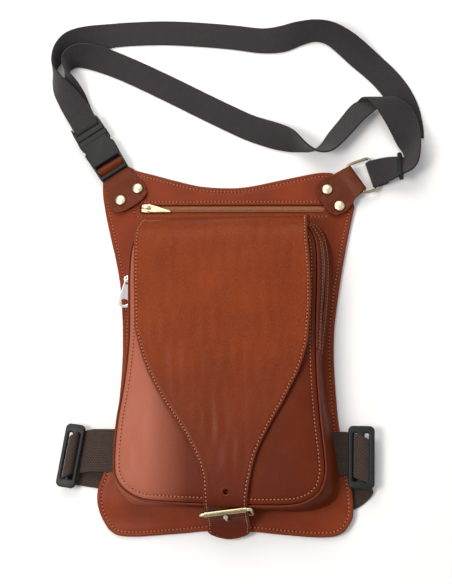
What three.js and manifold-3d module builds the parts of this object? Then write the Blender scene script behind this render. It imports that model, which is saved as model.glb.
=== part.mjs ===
// Thigh bag: a flat hourglass pocket of leather with a box pocket, a buckled flap, a waist strap and a leg strap.
// Millimetres. The bag lies on its back: X across it, Y up it, Z out of its front. The origin is the middle of the back face.
import * as THREE from "three";
import { mergeVertices } from "three/addons/utils/BufferGeometryUtils.js";
import Module from "manifold-3d";

const wasm = await Module();
wasm.setup();

// ---- driving sizes ----
const GAP = 0.35; // clearance between two pieces that lie on each other
const BACK_T = 2.0; // back panel leather
const FACE_T = 2.2; // front panel leather
const POCKET_T = 1.8; // box pocket leather
const BASE_T = 1.4; // the box pocket's own back
const FLAP_T = 2.2; // flap leather
const LUG_T = 1.8; // lug leather
const RIM_Z = 37; // height of the box pocket's front seam above the floor
const DOME = 5.5; // how far the box pocket's front rises inside that seam
const WAIST_W = 25; // waist webbing
const WAIST_T = 1.9;
const LEG_W = 38; // leg webbing
const LEG_T = 2.2;
const RING_R = 1.35; // D-ring wire radius
const RIVET_R = 4.8; // rivet cap radius
const BUCKLE_WIRE = 1.5; // flap buckle wire radius
const ROLLER_R = 2.5; // flap buckle roller radius

// ---- tables ----
// Outline of the two panels: the two long edges by height, the top and bottom edges by x.
const PANEL_SIDES = [
  { y: -154, left: -105, right: 105 },
  { y: -143, left: -111.5, right: 111.5 },
  { y: -130, left: -115, right: 112.2 },
  { y: -116, left: -114, right: 111 },
  { y: -107, left: -110.5, right: 109.3 },
  { y: -85, left: -105.5, right: 104.5 },
  { y: -64, left: -101, right: 100.5 },
  { y: -36, left: -98, right: 98 },
  { y: -5, left: -96.5, right: 96.5 },
  { y: 22, left: -97, right: 97 },
  { y: 44, left: -98.5, right: 99.5 },
  { y: 68, left: -101, right: 103 },
  { y: 92, left: -106, right: 107 },
  { y: 115, left: -112, right: 111.5 },
  { y: 138, left: -117.5, right: 116.5 },
];
const PANEL_TOP = [
  { x: -121, y: 168 },
  { x: -97, y: 182 },
  { x: -89, y: 178.5 },
  { x: -70, y: 173 },
  { x: -52, y: 167.5 },
  { x: -27, y: 161 },
  { x: 0, y: 158.5 },
  { x: 20, y: 159.5 },
  { x: 47, y: 164.5 },
  { x: 77, y: 170 },
  { x: 90, y: 171 },
  { x: 98, y: 169 },
  { x: 110, y: 156 },
];
const PANEL_BOTTOM = [
  { x: -96, y: -160 },
  { x: -80, y: -161 },
  { x: -65, y: -160 },
  { x: -36, y: -157.5 },
  { x: -15, y: -155.5 },
  { x: 22, y: -155.5 },
  { x: 54, y: -158 },
  { x: 80, y: -159.5 },
  { x: 96, y: -158.5 },
];
// The box pocket's seams, clockwise from the middle of the top: where its wall meets the panel, and where it meets the front.
const SEAM = [
  { baseX: 0, baseY: 122.5, frontX: 0, frontY: 113.5 },
  { baseX: 45, baseY: 122.5, frontX: 42, frontY: 113.5 },
  { baseX: 70, baseY: 122, frontX: 64, frontY: 112.5 },
  { baseX: 83, baseY: 117, frontX: 75, frontY: 108 },
  { baseX: 91, baseY: 105, frontX: 80.5, frontY: 97 },
  { baseX: 94.5, baseY: 85, frontX: 82, frontY: 78 },
  { baseX: 93, baseY: 58, frontX: 81.5, frontY: 52 },
  { baseX: 90, baseY: 30, frontX: 80.5, frontY: 26 },
  { baseX: 87, baseY: 0, frontX: 80.5, frontY: -2 },
  { baseX: 88, baseY: -28, frontX: 81.5, frontY: -30 },
  { baseX: 92, baseY: -62, frontX: 84, frontY: -62 },
  { baseX: 97, baseY: -95, frontX: 87.5, frontY: -94 },
  { baseX: 98, baseY: -113, frontX: 87.5, frontY: -108 },
  { baseX: 94.5, baseY: -126, frontX: 83, frontY: -120 },
  { baseX: 84, baseY: -133, frontX: 73, frontY: -127.5 },
  { baseX: 66, baseY: -136, frontX: 58, frontY: -131 },
  { baseX: 25, baseY: -135, frontX: 24, frontY: -131.5 },
  { baseX: -17, baseY: -133.5, frontX: -14, frontY: -130.5 },
  { baseX: -60, baseY: -132.5, frontX: -52, frontY: -129 },
  { baseX: -80, baseY: -131, frontX: -68, frontY: -127 },
  { baseX: -88, baseY: -125, frontX: -80, frontY: -121 },
  { baseX: -95, baseY: -115, frontX: -88.5, frontY: -112 },
  { baseX: -97.5, baseY: -100, frontX: -91.5, frontY: -98 },
  { baseX: -95.5, baseY: -64, frontX: -90, frontY: -64 },
  { baseX: -90.5, baseY: -25, frontX: -84.8, frontY: -27 },
  { baseX: -88, baseY: 12, frontX: -82, frontY: 9 },
  { baseX: -87.5, baseY: 48, frontX: -82.6, frontY: 45 },
  { baseX: -88.5, baseY: 80, frontX: -83.2, frontY: 72 },
  { baseX: -87.5, baseY: 100, frontX: -81.8, frontY: 93 },
  { baseX: -83.5, baseY: 113, frontX: -77, frontY: 104 },
  { baseX: -76.5, baseY: 120.5, frontX: -69, frontY: 111 },
  { baseX: -62, baseY: 122.5, frontX: -55, frontY: 113.5 },
];
const CORNER = { topRight: 3, bottomRight: 13, bottomLeft: 20, topLeft: 30 }; // rows of SEAM
const ZIP_FROM = 26 - SEAM.length, // the main zip runs over the top from this row of SEAM to that one
  ZIP_TO = 8;
// The flap, from its seam under the top zip, over the pocket, through the buckle, to its free end.
const FLAP = [
  { y: 132.6, z: 7.2, left: -79, right: 74 },
  { y: 128.6, z: 8.0, left: -79, right: 74 },
  { y: 125.6, z: 11.5, left: -79, right: 74 },
  { y: 124.2, z: 18, left: -78.5, right: 74.5 },
  { y: 122.2, z: 26, left: -76.6, right: 75 },
  { y: 119.2, z: 34, left: -76.4, right: 75 },
  { y: 114.5, z: 40.6, left: -77.4, right: 75.5 },
  { y: 107, z: 44.7, left: -79, right: 75.5 },
  { y: 97, z: 46.3, left: -79.6, right: 76 },
  { y: 72, z: 46.8, left: -79.2, right: 78 },
  { y: 44, z: 47, left: -78, right: 78.5 },
  { y: 20, z: 47, left: -76.5, right: 77 },
  { y: 5, z: 47, left: -73, right: 75.5 },
  { y: -10, z: 47, left: -68, right: 71.5 },
  { y: -22, z: 47, left: -63, right: 67 },
  { y: -34, z: 47, left: -56.5, right: 61 },
  { y: -46, z: 47, left: -49.5, right: 55 },
  { y: -58, z: 47, left: -41.5, right: 48 },
  { y: -70, z: 46.9, left: -33, right: 41.5 },
  { y: -84, z: 46.7, left: -25, right: 34.5 },
  { y: -98, z: 46.3, left: -18.5, right: 29.5 },
  { y: -110, z: 45.6, left: -15, right: 27 },
  { y: -121, z: 44.3, left: -14, right: 25 },
  { y: -128.5, z: 42.6, left: -13.7, right: 24 },
  { y: -132.8, z: 39.8, left: -13.7, right: 23.8 },
  { y: -135.4, z: 35.5, left: -13.7, right: 23.7 },
  { y: -139, z: 30.8, left: -13.7, right: 23.7 },
  { y: -142.6, z: 27, left: -13.7, right: 23.7 },
  { y: -145.2, z: 22, left: -13.7, right: 23.7 },
  { y: -147.2, z: 17, left: -13.9, right: 23.7 },
  { y: -150, z: 12.6, left: -14.3, right: 23.7 },
  { y: -154, z: 9.6, left: -14.6, right: 23.4 },
  { y: -158.4, z: 7.9, left: -14.4, right: 23 },
  { y: -162, z: 6.6, left: -13, right: 21.6 },
];
const FLAP_BUCKLE = { x: 4.7, inside: 20.1, rollerY: -139.1, rollerZ: 37.2, pinY: -140.4, pinZ: 20 };
const TOP_ZIP = { left: -86, right: 91, y: 138, slope: -0.025, slot: 7.2 };
// A lug: half its width at each distance behind the bar it is folded round.
const LUG = [
  { back: 0, half: 14 },
  { back: 7, half: 14.6 },
  { back: 13, half: 16 },
  { back: 20, half: 18.6 },
  { back: 26, half: 19.2 },
  { back: 31.5, half: 17.4 },
  { back: 35.6, half: 12.5 },
  { back: 37.4, half: 6.5 },
];
const LUG_LEFT = { x: -108.5, y: 174.5, turn: 122, reach: 8.5 };
const LUG_RIGHT = { x: 117.6, y: 162, turn: 33, reach: 0 };
const RIVETS = [
  { name: "rivet_left_upper", x: -86, y: 159 },
  { name: "rivet_left_lower", x: -102, y: 148 },
  { name: "rivet_right_upper", x: 92, y: 153 },
  { name: "rivet_right_lower", x: 103, y: 137 },
];
// Webbing, row by row: its middle, the plan angle towards its first edge, how far that edge points up, and its width along that line.
const WAIST_UPPER = [
  { x: -137.9, y: 221.6, z: 9.2, turn: 212, rise: 0, wide: WAIST_W },
  { x: -148, y: 238, z: 9, turn: 215, rise: -8, wide: WAIST_W },
  { x: -158, y: 253, z: 9.8, turn: 211, rise: -28, wide: WAIST_W },
  { x: -167, y: 266, z: 11.6, turn: 204, rise: -52, wide: WAIST_W },
  { x: -172, y: 280, z: 13, turn: 192, rise: -76, wide: WAIST_W },
  { x: -169.5, y: 292.5, z: 13.3, turn: 168, rise: -93, wide: WAIST_W },
  { x: -163, y: 302.5, z: 12.6, turn: 140, rise: -112, wide: WAIST_W },
  { x: -153.5, y: 310.3, z: 9.4, turn: 118, rise: -137, wide: WAIST_W },
  { x: -139.5, y: 315.3, z: 5, turn: 103, rise: -160, wide: WAIST_W },
  { x: -120, y: 318.6, z: 1.9, turn: 96, rise: -176, wide: WAIST_W },
  { x: -99, y: 320, z: 1.05, turn: 92, rise: -180, wide: WAIST_W },
  { x: -64, y: 319.3, z: 1.05, turn: 87, rise: -180, wide: WAIST_W },
  { x: -30, y: 316, z: 1.05, turn: 84, rise: -180, wide: WAIST_W },
  { x: 2, y: 311.6, z: 1.05, turn: 81, rise: -180, wide: WAIST_W },
  { x: 30, y: 306.5, z: 1.9, turn: 82, rise: -176, wide: WAIST_W },
  { x: 50, y: 305.5, z: 6, turn: 91, rise: -157, wide: WAIST_W },
  { x: 67, y: 308, z: 10.6, turn: 95, rise: -130, wide: WAIST_W },
  { x: 82, y: 309.6, z: 11.8, turn: 86, rise: -121, wide: WAIST_W },
  { x: 96, y: 306.5, z: 10.8, turn: 64, rise: -128, wide: WAIST_W },
  { x: 110, y: 297.5, z: 8, turn: 50, rise: -146, wide: WAIST_W },
  { x: 123, y: 286.5, z: 3.9, turn: 47, rise: -166, wide: WAIST_W },
  { x: 136, y: 274.5, z: 1.3, turn: 45, rise: -179, wide: WAIST_W },
  { x: 148, y: 261.5, z: 1.05, turn: 40, rise: -180, wide: WAIST_W },
  { x: 158, y: 247, z: 1.05, turn: 30, rise: -180, wide: WAIST_W },
  { x: 165, y: 231, z: 1.05, turn: 17, rise: -180, wide: WAIST_W },
  { x: 168.4, y: 214, z: 1.05, turn: 5, rise: -180, wide: WAIST_W },
  { x: 168.8, y: 203, z: 1.05, turn: -2, rise: -180, wide: WAIST_W },
];
const WAIST_LOWER = [
  { x: -138.2, y: 222, z: 4.4, turn: 211, rise: 0, wide: WAIST_W },
  { x: -145.3, y: 235.2, z: 4.0, turn: 211, rise: -3, wide: WAIST_W },
  { x: -151, y: 249.5, z: 3.8, turn: 208, rise: -12, wide: WAIST_W },
  { x: -156, y: 262, z: 6.6, turn: 203, rise: -35, wide: WAIST_W },
  { x: -159.5, y: 273, z: 11.4, turn: 193, rise: -66, wide: WAIST_W },
  { x: -160, y: 284, z: 13.3, turn: 168, rise: -92, wide: WAIST_W },
  { x: -154.5, y: 292.5, z: 11.6, turn: 128, rise: -118, wide: WAIST_W },
  { x: -144.5, y: 296, z: 8.3, turn: 96, rise: -143, wide: WAIST_W },
  { x: -131, y: 294.5, z: 4, turn: 76, rise: -166, wide: WAIST_W },
  { x: -113, y: 288, z: 1.5, turn: 67, rise: -178, wide: WAIST_W },
  { x: -90, y: 277, z: 1.05, turn: 63, rise: -180, wide: WAIST_W },
  { x: -58, y: 260, z: 1.05, turn: 62, rise: -180, wide: WAIST_W },
  { x: -29, y: 244, z: 1.05, turn: 62, rise: -180, wide: WAIST_W },
  { x: -6, y: 231.5, z: 1.05, turn: 63, rise: -180, wide: WAIST_W },
  { x: 18, y: 219, z: 1.4, turn: 64, rise: -178, wide: WAIST_W },
  { x: 40, y: 209.5, z: 4.8, turn: 65, rise: -162, wide: WAIST_W },
  { x: 56, y: 202, z: 9.9, turn: 63, rise: -135, wide: WAIST_W },
  { x: 68, y: 195.5, z: 13.2, turn: 63, rise: -103, wide: WAIST_W },
  { x: 76, y: 192, z: 13.4, turn: 77, rise: -84, wide: WAIST_W },
  { x: 85, y: 191, z: 12, turn: 102, rise: -62, wide: WAIST_W },
  { x: 93, y: 195, z: 10, turn: 125, rise: -46, wide: WAIST_W },
  { x: 101, y: 204, z: 8.9, turn: 136, rise: -37, wide: WAIST_W },
  { x: 110, y: 214.5, z: 8.6, turn: 137, rise: -34, wide: WAIST_W },
  { x: 119, y: 225.5, z: 8, turn: 141, rise: -31, wide: WAIST_W },
  { x: 126.5, y: 232.5, z: 7.4, turn: 154, rise: -25, wide: WAIST_W + 1 },
  { x: 133, y: 237, z: 8.4, turn: 168, rise: -19, wide: WAIST_W + 3 },
  { x: 138.5, y: 239.4, z: 12.2, turn: 174, rise: -10, wide: WAIST_W + 4 },
  { x: 144.4, y: 236.9, z: 15.8, turn: 176, rise: -2, wide: WAIST_W + 5 },
  { x: 151.4, y: 230.2, z: 15.8, turn: 182, rise: 4, wide: WAIST_W + 5.5 },
  { x: 158, y: 221, z: 13.4, turn: 193, rise: 5, wide: WAIST_W + 4 },
  { x: 163.4, y: 209.7, z: 10.8, turn: 200, rise: -6, wide: WAIST_W + 1.4 },
  { x: 167.2, y: 198.4, z: 10, turn: 200, rise: -30, wide: WAIST_W },
  { x: 169.4, y: 189.8, z: 12, turn: 188, rise: -50, wide: WAIST_W },
  { x: 169.6, y: 181.8, z: 13.6, turn: 168, rise: -57, wide: WAIST_W },
  { x: 167, y: 175.2, z: 13, turn: 125, rise: -48, wide: WAIST_W },
  { x: 160.6, y: 173, z: 12, turn: 90, rise: -34, wide: WAIST_W },
  { x: 150.5, y: 171.6, z: 9.8, turn: 100, rise: -16, wide: WAIST_W },
  { x: 140.5, y: 169.3, z: 8.4, turn: 106, rise: -3, wide: WAIST_W },
  { x: 134.4, y: 167.6, z: 8.4, turn: 107, rise: 0, wide: WAIST_W },
  { x: 132.2, y: 167, z: 7.4, turn: 107, rise: 0, wide: WAIST_W },
  { x: 131.3, y: 166.7, z: 5.6, turn: 107, rise: 0, wide: WAIST_W },
  { x: 132.2, y: 167, z: 3.9, turn: 107, rise: 0, wide: WAIST_W },
  { x: 134.4, y: 167.6, z: 2.9, turn: 107, rise: 0, wide: WAIST_W },
  { x: 140, y: 169.3, z: 3.2, turn: 106, rise: -2, wide: WAIST_W },
  { x: 145.5, y: 170.8, z: 3.9, turn: 104, rise: -8, wide: WAIST_W },
];
const LEG_STRAP = [
  { x: -128, y: -86.6, z: 6.6, turn: 86, wide: LEG_W },
  { x: -132.6, y: -87, z: 6.5, turn: 83, wide: LEG_W },
  { x: -135.2, y: -87.5, z: 7.4, turn: 81.4, wide: LEG_W },
  { x: -136.1, y: -88, z: 9.8, turn: 81.4, wide: LEG_W },
  { x: -136.9, y: -88.8, z: 12.6, turn: 81.4, wide: LEG_W },
  { x: -139.7, y: -90.2, z: 13.8, turn: 81.4, wide: LEG_W },
  { x: -142.5, y: -91.4, z: 12.6, turn: 81.4, wide: LEG_W },
  { x: -143.4, y: -92.2, z: 9.8, turn: 81.4, wide: LEG_W },
  { x: -143.4, y: -93.6, z: 6, turn: 81.4, wide: LEG_W },
  { x: -142.2, y: -95, z: 2.9, turn: 82, wide: LEG_W },
  { x: -138, y: -96.6, z: 1.3, turn: 84, wide: LEG_W },
  { x: -130, y: -98, z: 1.15, turn: 85, wide: LEG_W },
  { x: -110, y: -100.6, z: 1.15, turn: 84.6, wide: LEG_W },
  { x: -60, y: -105.4, z: 1.15, turn: 84.6, wide: LEG_W },
  { x: 0, y: -110.9, z: 1.15, turn: 84.6, wide: LEG_W },
  { x: 50, y: -115.5, z: 1.15, turn: 84.6, wide: LEG_W },
  { x: 84, y: -118.8, z: 1.15, turn: 88, wide: LEG_W },
  { x: 99, y: -119.4, z: 1.15, turn: 98, wide: LEG_W },
  { x: 109, y: -116.5, z: 1.15, turn: 110, wide: LEG_W },
  { x: 116.6, y: -110.5, z: 1.4, turn: 116, wide: LEG_W },
  { x: 122.6, y: -104, z: 3.4, turn: 110, wide: LEG_W },
  { x: 125.4, y: -99, z: 7, turn: 93, wide: LEG_W },
  { x: 125.6, y: -96, z: 10.6, turn: 89.5, wide: LEG_W },
  { x: 124.9, y: -94, z: 14.2, turn: 89, wide: LEG_W },
  { x: 121.8, y: -92.6, z: 16.5, turn: 90, wide: LEG_W },
  { x: 118.2, y: -91.2, z: 16.7, turn: 89, wide: LEG_W },
  { x: 115.6, y: -90.2, z: 15.3, turn: 89, wide: LEG_W },
  { x: 114.7, y: -89.6, z: 13, turn: 89, wide: LEG_W },
  { x: 114, y: -89.1, z: 10.5, turn: 89, wide: LEG_W },
  { x: 111.6, y: -88.6, z: 9.1, turn: 89, wide: LEG_W },
];
const LEG_SLIDER_LEFT = { x: -139.7, y: -90.6, z: 10, turn: 81.4, long: 57 };
const LEG_SLIDER_RIGHT = { x: 119.8, y: -91, z: 12, turn: 89, long: 54 };

const WAIST_SLIDER = { row: 35.2, long: 30.6, high: 8.6, slotLong: 27, slotHigh: 5.8, wide: 3.6 }; // round the strap at this row of WAIST_LOWER

// ---- small tools ----
const rad = (a) => (a * Math.PI) / 180;
const mix = (a, b, t) => a + (b - a) * t;
// 1 up to `flat`, easing down to 0 at `end`.
const plateau = (d, flat, end) =>
  d <= flat ? 1 : d >= end ? 0 : 0.5 + 0.5 * Math.cos((Math.PI * (d - flat)) / (end - flat));
// A smooth curve through one column of a table, at row r (which may lie between rows).
function column(rows, key, r, closed = false) {
  const n = rows.length,
    i = Math.floor(r),
    t = r - i;
  const at = (k) => rows[closed ? ((k % n) + n) % n : Math.min(n - 1, Math.max(0, k))][key];
  const [a, b, c, d] = [at(i - 1), at(i), at(i + 1), at(i + 2)];
  return 0.5 * (2 * b + (c - a) * t + (2 * a - 5 * b + 4 * c - d) * t * t + (3 * b - a - 3 * c + d) * t * t * t);
}
function solid(points, faces) {
  return new wasm.Manifold(
    new wasm.Mesh({ numProp: 3, vertProperties: Float32Array.from(points.flat()), triVerts: Uint32Array.from(faces.flat()) }),
  );
}
// A three.js geometry as a solid that can be joined or cut.
function body(geometry, matrix = new THREE.Matrix4()) {
  const g = new THREE.BufferGeometry();
  g.setAttribute("position", (geometry.index ? geometry.toNonIndexed() : geometry).getAttribute("position").clone());
  g.applyMatrix4(matrix);
  const m = mergeVertices(g, 1e-4);
  return new wasm.Manifold(
    new wasm.Mesh({ numProp: 3, vertProperties: m.attributes.position.array, triVerts: new Uint32Array(m.index.array) }),
  );
}
// A soft wall: mid(i, j) is a point of its middle surface, thick(i, j) its thickness, skip(i, j) a cell that is left open.
function wall(nu, nv, mid, thick, { ring = false, skip = () => false } = {}) {
  const cols = ring ? nu : nu + 1;
  const P = [];
  for (let j = 0; j <= nv; j++) for (let i = 0; i < cols; i++) P.push(mid(i, j));
  const at = (i, j) => P[j * cols + (ring ? (i + cols) % cols : Math.min(nu, Math.max(0, i)))];
  const points = [];
  for (const side of [0.5, -0.5])
    for (let j = 0; j <= nv; j++)
      for (let i = 0; i < cols; i++) {
        const du = at(i + 1, j).clone().sub(at(i - 1, j));
        const dv = at(i, Math.min(nv, j + 1)).clone().sub(at(i, Math.max(0, j - 1)));
        const n = du.cross(dv).normalize();
        const t = (typeof thick === "function" ? thick(i, j) : thick) * side;
        points.push([P[j * cols + i].x + n.x * t, P[j * cols + i].y + n.y * t, P[j * cols + i].z + n.z * t]);
      }
  const half = cols * (nv + 1);
  const id = (i, j, low) => j * cols + (ring ? (i + cols) % cols : i) + (low ? half : 0);
  const open = (i, j) => (!ring && (i < 0 || i >= nu)) || j < 0 || j >= nv || skip(ring ? (i + nu) % nu : i, j);
  const faces = [];
  const quad = (a, b, c, d) => faces.push([a, b, c], [a, c, d]);
  for (let j = 0; j < nv; j++)
    for (let i = 0; i < nu; i++) {
      if (open(i, j)) continue;
      const [a, b, c, d] = [id(i, j), id(i + 1, j), id(i + 1, j + 1), id(i, j + 1)];
      quad(a, b, c, d);
      quad(a + half, d + half, c + half, b + half); // the same diagonal as above, so a twisted cell keeps its thickness
      if (open(i, j - 1)) quad(b, a, a + half, b + half);
      if (open(i + 1, j)) quad(c, b, b + half, c + half);
      if (open(i, j + 1)) quad(d, c, c + half, d + half);
      if (open(i - 1, j)) quad(a, d, d + half, a + half);
    }
  return solid(points, faces);
}
// Points inside an outline of four edges, each a function of 0..1 that gives [x, y].
const patch = (bottom, top, left, right) => (u, v) => {
  const [b, t, l, r] = [bottom(u), top(u), left(v), right(v)];
  const [b0, b1, t0, t1] = [bottom(0), bottom(1), top(0), top(1)];
  return [0, 1].map(
    (k) => mix(b[k], t[k], v) + mix(l[k], r[k], u) - mix(mix(b0[k], b1[k], u), mix(t0[k], t1[k], u), v),
  );
};
// A flat plate: an outline with holes, extruded by `thick` about its middle plane, in local x and y.
function plate(outline, holes, thick, matrix) {
  const shape = new THREE.Shape(outline.map(([x, y]) => new THREE.Vector2(x, y)));
  for (const h of holes) shape.holes.push(new THREE.Path(h.map(([x, y]) => new THREE.Vector2(x, y))));
  const g = new THREE.ExtrudeGeometry(shape, { depth: thick, bevelEnabled: false });
  g.translate(0, 0, -thick / 2);
  return body(g, matrix);
}
const rounded = (w, h, r, n = 3) => {
  const out = [];
  for (const [sx, sy, a0] of [[1, 1, 0], [-1, 1, 90], [-1, -1, 180], [1, -1, 270]])
    for (let k = 0; k <= n; k++) {
      const a = rad(a0 + (90 * k) / n);
      out.push([sx * (w / 2 - r) + r * Math.cos(a), sy * (h / 2 - r) + r * Math.sin(a)]);
    }
  return out;
};
const shifted = (pts, dx, dy = 0) => pts.map(([x, y]) => [x + dx, y + dy]);
const circle = (r, n = 12) => Array.from({ length: n }, (_, k) => [r * Math.cos((2 * Math.PI * k) / n), r * Math.sin((2 * Math.PI * k) / n)]);
const place = (x, y, z, turn = 0, tip = 0, roll = 0) =>
  new THREE.Matrix4().compose(
    new THREE.Vector3(x, y, z),
    new THREE.Quaternion().setFromEuler(new THREE.Euler(rad(roll), rad(tip), rad(turn), "ZYX")),
    new THREE.Vector3(1, 1, 1),
  );
// A round wire through points; closed makes a ring.
function wire(points, r, sides = 8, closed = false, steps = points.length) {
  const curve = new THREE.CatmullRomCurve3(points.map((p) => new THREE.Vector3(...p)), closed, "catmullrom", 0.25);
  const frames = curve.computeFrenetFrames(steps, closed);
  const rings = closed ? steps : steps + 1;
  const pts = [],
    faces = [];
  for (let i = 0; i < rings; i++) {
    const c = curve.getPointAt(i / steps);
    for (let k = 0; k < sides; k++) {
      const a = (2 * Math.PI * k) / sides;
      const p = c.clone().addScaledVector(frames.normals[i], r * Math.cos(a)).addScaledVector(frames.binormals[i], r * Math.sin(a));
      pts.push([p.x, p.y, p.z]);
    }
  }
  for (let i = 0; i < (closed ? rings : rings - 1); i++)
    for (let k = 0; k < sides; k++) {
      const a = i * sides + k,
        b = i * sides + ((k + 1) % sides),
        n = ((i + 1) % rings) * sides;
      faces.push([a, b, n + ((k + 1) % sides)], [a, n + ((k + 1) % sides), n + k]);
    }
  if (!closed)
    for (let k = 1; k < sides - 1; k++) {
      faces.push([0, k + 1, k]);
      const e = (rings - 1) * sides;
      faces.push([e, e + k, e + k + 1]);
    }
  return solid(pts, faces);
}
// A turned piece: [radius, height] pairs from the axis round to the axis, about +Z.
const turned = (profile, matrix, n = 16) => body(new THREE.LatheGeometry(profile.map(([r, z]) => new THREE.Vector2(r, z)), n).rotateX(Math.PI / 2), matrix);
const box = (x, y, z, matrix) => body(new THREE.BoxGeometry(x, y, z), matrix);
const rod = (r, length, matrix, n = 14) => body(new THREE.CylinderGeometry(r, r, length, n), matrix);

const group = new THREE.Group();
group.name = "thigh_bag";
const LOOK = {
  leather: { color: "#96462d", roughness: 0.5 },
  lug_leather: { color: "#73321f", roughness: 0.5 },
  webbing: { color: "#33292b", roughness: 0.9 },
  plastic: { color: "#2a3032", roughness: 0.5 },
  brass: { color: "#cdbb8f", roughness: 0.3, metalness: 1 },
  silver: { color: "#dedede", roughness: 0.25, metalness: 1 },
  zip: { color: "#4a2c1c", roughness: 0.8 },
};
function add(name, made, look) {
  const m = made.getMesh();
  const g = new THREE.BufferGeometry();
  g.setAttribute("position", new THREE.BufferAttribute(Float32Array.from(m.vertProperties), 3));
  g.setIndex(Array.from(m.triVerts));
  g.computeVertexNormals();
  const mesh = new THREE.Mesh(g, new THREE.MeshStandardMaterial({ ...LOOK[look], side: THREE.FrontSide }));
  mesh.name = name;
  group.add(mesh);
}

// ---- heights that one layer takes from the one under it ----
const backRunY = (x) => -110.9 - 0.092 * x; // middle of the leg strap behind the bag
const frontRunY = (x) => -86.6 - 0.01 * x; // middle of the leg strap in front of the panel
const lift = (x, y) => 2.55 * plateau(Math.abs(y - backRunY(x)), 21.5, 52);
const belly = (x, y) => Math.max(0, 1 - (x / 99) ** 2) * Math.max(0, 1 - ((y - 5) / 168) ** 2);
const faceTop = (x, y) => lift(x, y) + BACK_T + GAP + FACE_T + 1.2 * belly(x, y);
const tunnel = (x, y) => (LEG_T + 0.6) * plateau(Math.abs(y - frontRunY(x)), 22.5, 44);
const baseTop = (x, y) => faceTop(x, y) + tunnel(x, y) + GAP + BASE_T;

// ---- the two panels ----
const leftEdge = [...PANEL_SIDES.map((p) => ({ x: p.left, y: p.y })), { x: -120.5, y: 155 }, PANEL_TOP[0]];
const rightEdge = PANEL_SIDES.map((p) => ({ x: p.right, y: p.y }));
const topEdge = [...PANEL_TOP, rightEdge[rightEdge.length - 1]];
const bottomEdge = [leftEdge[0], ...PANEL_BOTTOM, rightEdge[0]];
// A point at a share t of a polyline's length, smoothed by the column curve.
function alongEdge(rows) {
  const lengths = [0];
  for (let i = 1; i < rows.length; i++) lengths.push(lengths[i - 1] + Math.hypot(rows[i].x - rows[i - 1].x, rows[i].y - rows[i - 1].y));
  const total = lengths[lengths.length - 1];
  return (t) => {
    const want = t * total;
    let i = 0;
    while (i < rows.length - 2 && lengths[i + 1] < want) i++;
    const r = i + (want - lengths[i]) / (lengths[i + 1] - lengths[i]);
    return [column(rows, "x", r), column(rows, "y", r)];
  };
}
const panel = patch(alongEdge(bottomEdge), alongEdge(topEdge), alongEdge(leftEdge), alongEdge(rightEdge));
const PANEL_U = 8,
  PANEL_V = 25,
  LOW_ROWS = 16; // rows over the leg strap, closer together
const panelV = (j) => (j < LOW_ROWS ? (0.42 * j) / LOW_ROWS : mix(0.42, 1, (j - LOW_ROWS) / (PANEL_V - LOW_ROWS)));
const panelWall = (height, thick) =>
  wall(PANEL_U, PANEL_V, (i, j) => {
    const [x, y] = panel(i / PANEL_U, panelV(j));
    return new THREE.Vector3(x, y, height(x, y));
  }, thick);
let backPanel = panelWall((x, y) => lift(x, y) + BACK_T / 2, BACK_T);
let facePanel = panelWall((x, y) => faceTop(x, y) - FACE_T / 2, FACE_T);
for (const r of RIVETS) {
  facePanel = facePanel.subtract(rod(2.2, 12, place(r.x, r.y, 4, 0, 0, 90)));
  backPanel = backPanel.subtract(rod(4.8, 12, place(r.x, r.y, 0, 0, 0, 90), 16));
}
const slotX = (TOP_ZIP.left + TOP_ZIP.right) / 2;
facePanel = facePanel.subtract(
  box(TOP_ZIP.right - TOP_ZIP.left, TOP_ZIP.slot, 20, place(slotX, TOP_ZIP.y + TOP_ZIP.slope * slotX, 5, (Math.atan(TOP_ZIP.slope) * 180) / Math.PI)),
);
add("back_panel", backPanel, "leather");
add("face_panel", facePanel, "leather");

// ---- top zip: a tape with its closed chain lies in the slot, flush with the leather ----
const zipAt = (x, across) => {
  const y = TOP_ZIP.y + TOP_ZIP.slope * x + across;
  return new THREE.Vector3(x, y, faceTop(x, y) - FACE_T + 0.75);
};
const TAPE = [-3.2, -1.5, -1.2, 1.2, 1.5, 3.2];
add("top_zip", wall(8, TAPE.length - 1, (i, j) => zipAt(mix(TOP_ZIP.left + 0.5, TOP_ZIP.right - 0.5, i / 8), TAPE[j]).add(new THREE.Vector3(0, 0, j > 1 && j < 4 ? 0.5 : 0)), (i, j) => (j > 1 && j < 4 ? 1.9 : 0.8)), "zip");
const zipTurn = (Math.atan(TOP_ZIP.slope) * 180) / Math.PI;
// Slider: a tapered body on the chain with a bridge that holds the puller.
function slider(matrix, wide, long, high, arch = 2.1) {
  const b = plate([[-long / 2, -wide / 2 + 1], [long / 2 - 2, -wide / 2], [long / 2, -wide / 4], [long / 2, wide / 4], [long / 2 - 2, wide / 2], [-long / 2, wide / 2 - 1]], [], high, new THREE.Matrix4());
  const post = box(1.6, 1.5, arch + 0.4, place(long * 0.28, 0, high / 2 + arch / 2));
  const post2 = box(1.6, 1.5, arch + 0.4, place(-long * 0.34, 0, high / 2 + arch / 2));
  const bridge = box(long * 0.62 + 1.6, 1.5, 1.2, place(-long * 0.03, 0, high / 2 + arch + 0.6));
  return b.add(post).add(post2).add(bridge).transform(matrix.elements);
}
const topSliderX = -77;
const topSliderZ = zipAt(topSliderX, 0).z + 1.7;
add("top_zip_slider", slider(place(topSliderX, zipAt(topSliderX, 0).y, topSliderZ + 1.25, zipTurn), 8.6, 10, 2.2), "brass");
// Its puller is a flat blade that narrows to a point and hangs over the bridge by its eye.
add(
  "top_zip_puller",
  plate([[-3.4, -2.6], [-1.5, -3.4], [5, -3.2], [20, -0.7], [20.4, 0.4], [5, 3.2], [-1.5, 3.4], [-3.4, 2.6]], [circle(2, 10)], 1.1, place(topSliderX + 2.8, zipAt(topSliderX, 0).y - 0.4, topSliderZ + 3.4, -9, 5)),
  "brass",
);

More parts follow.
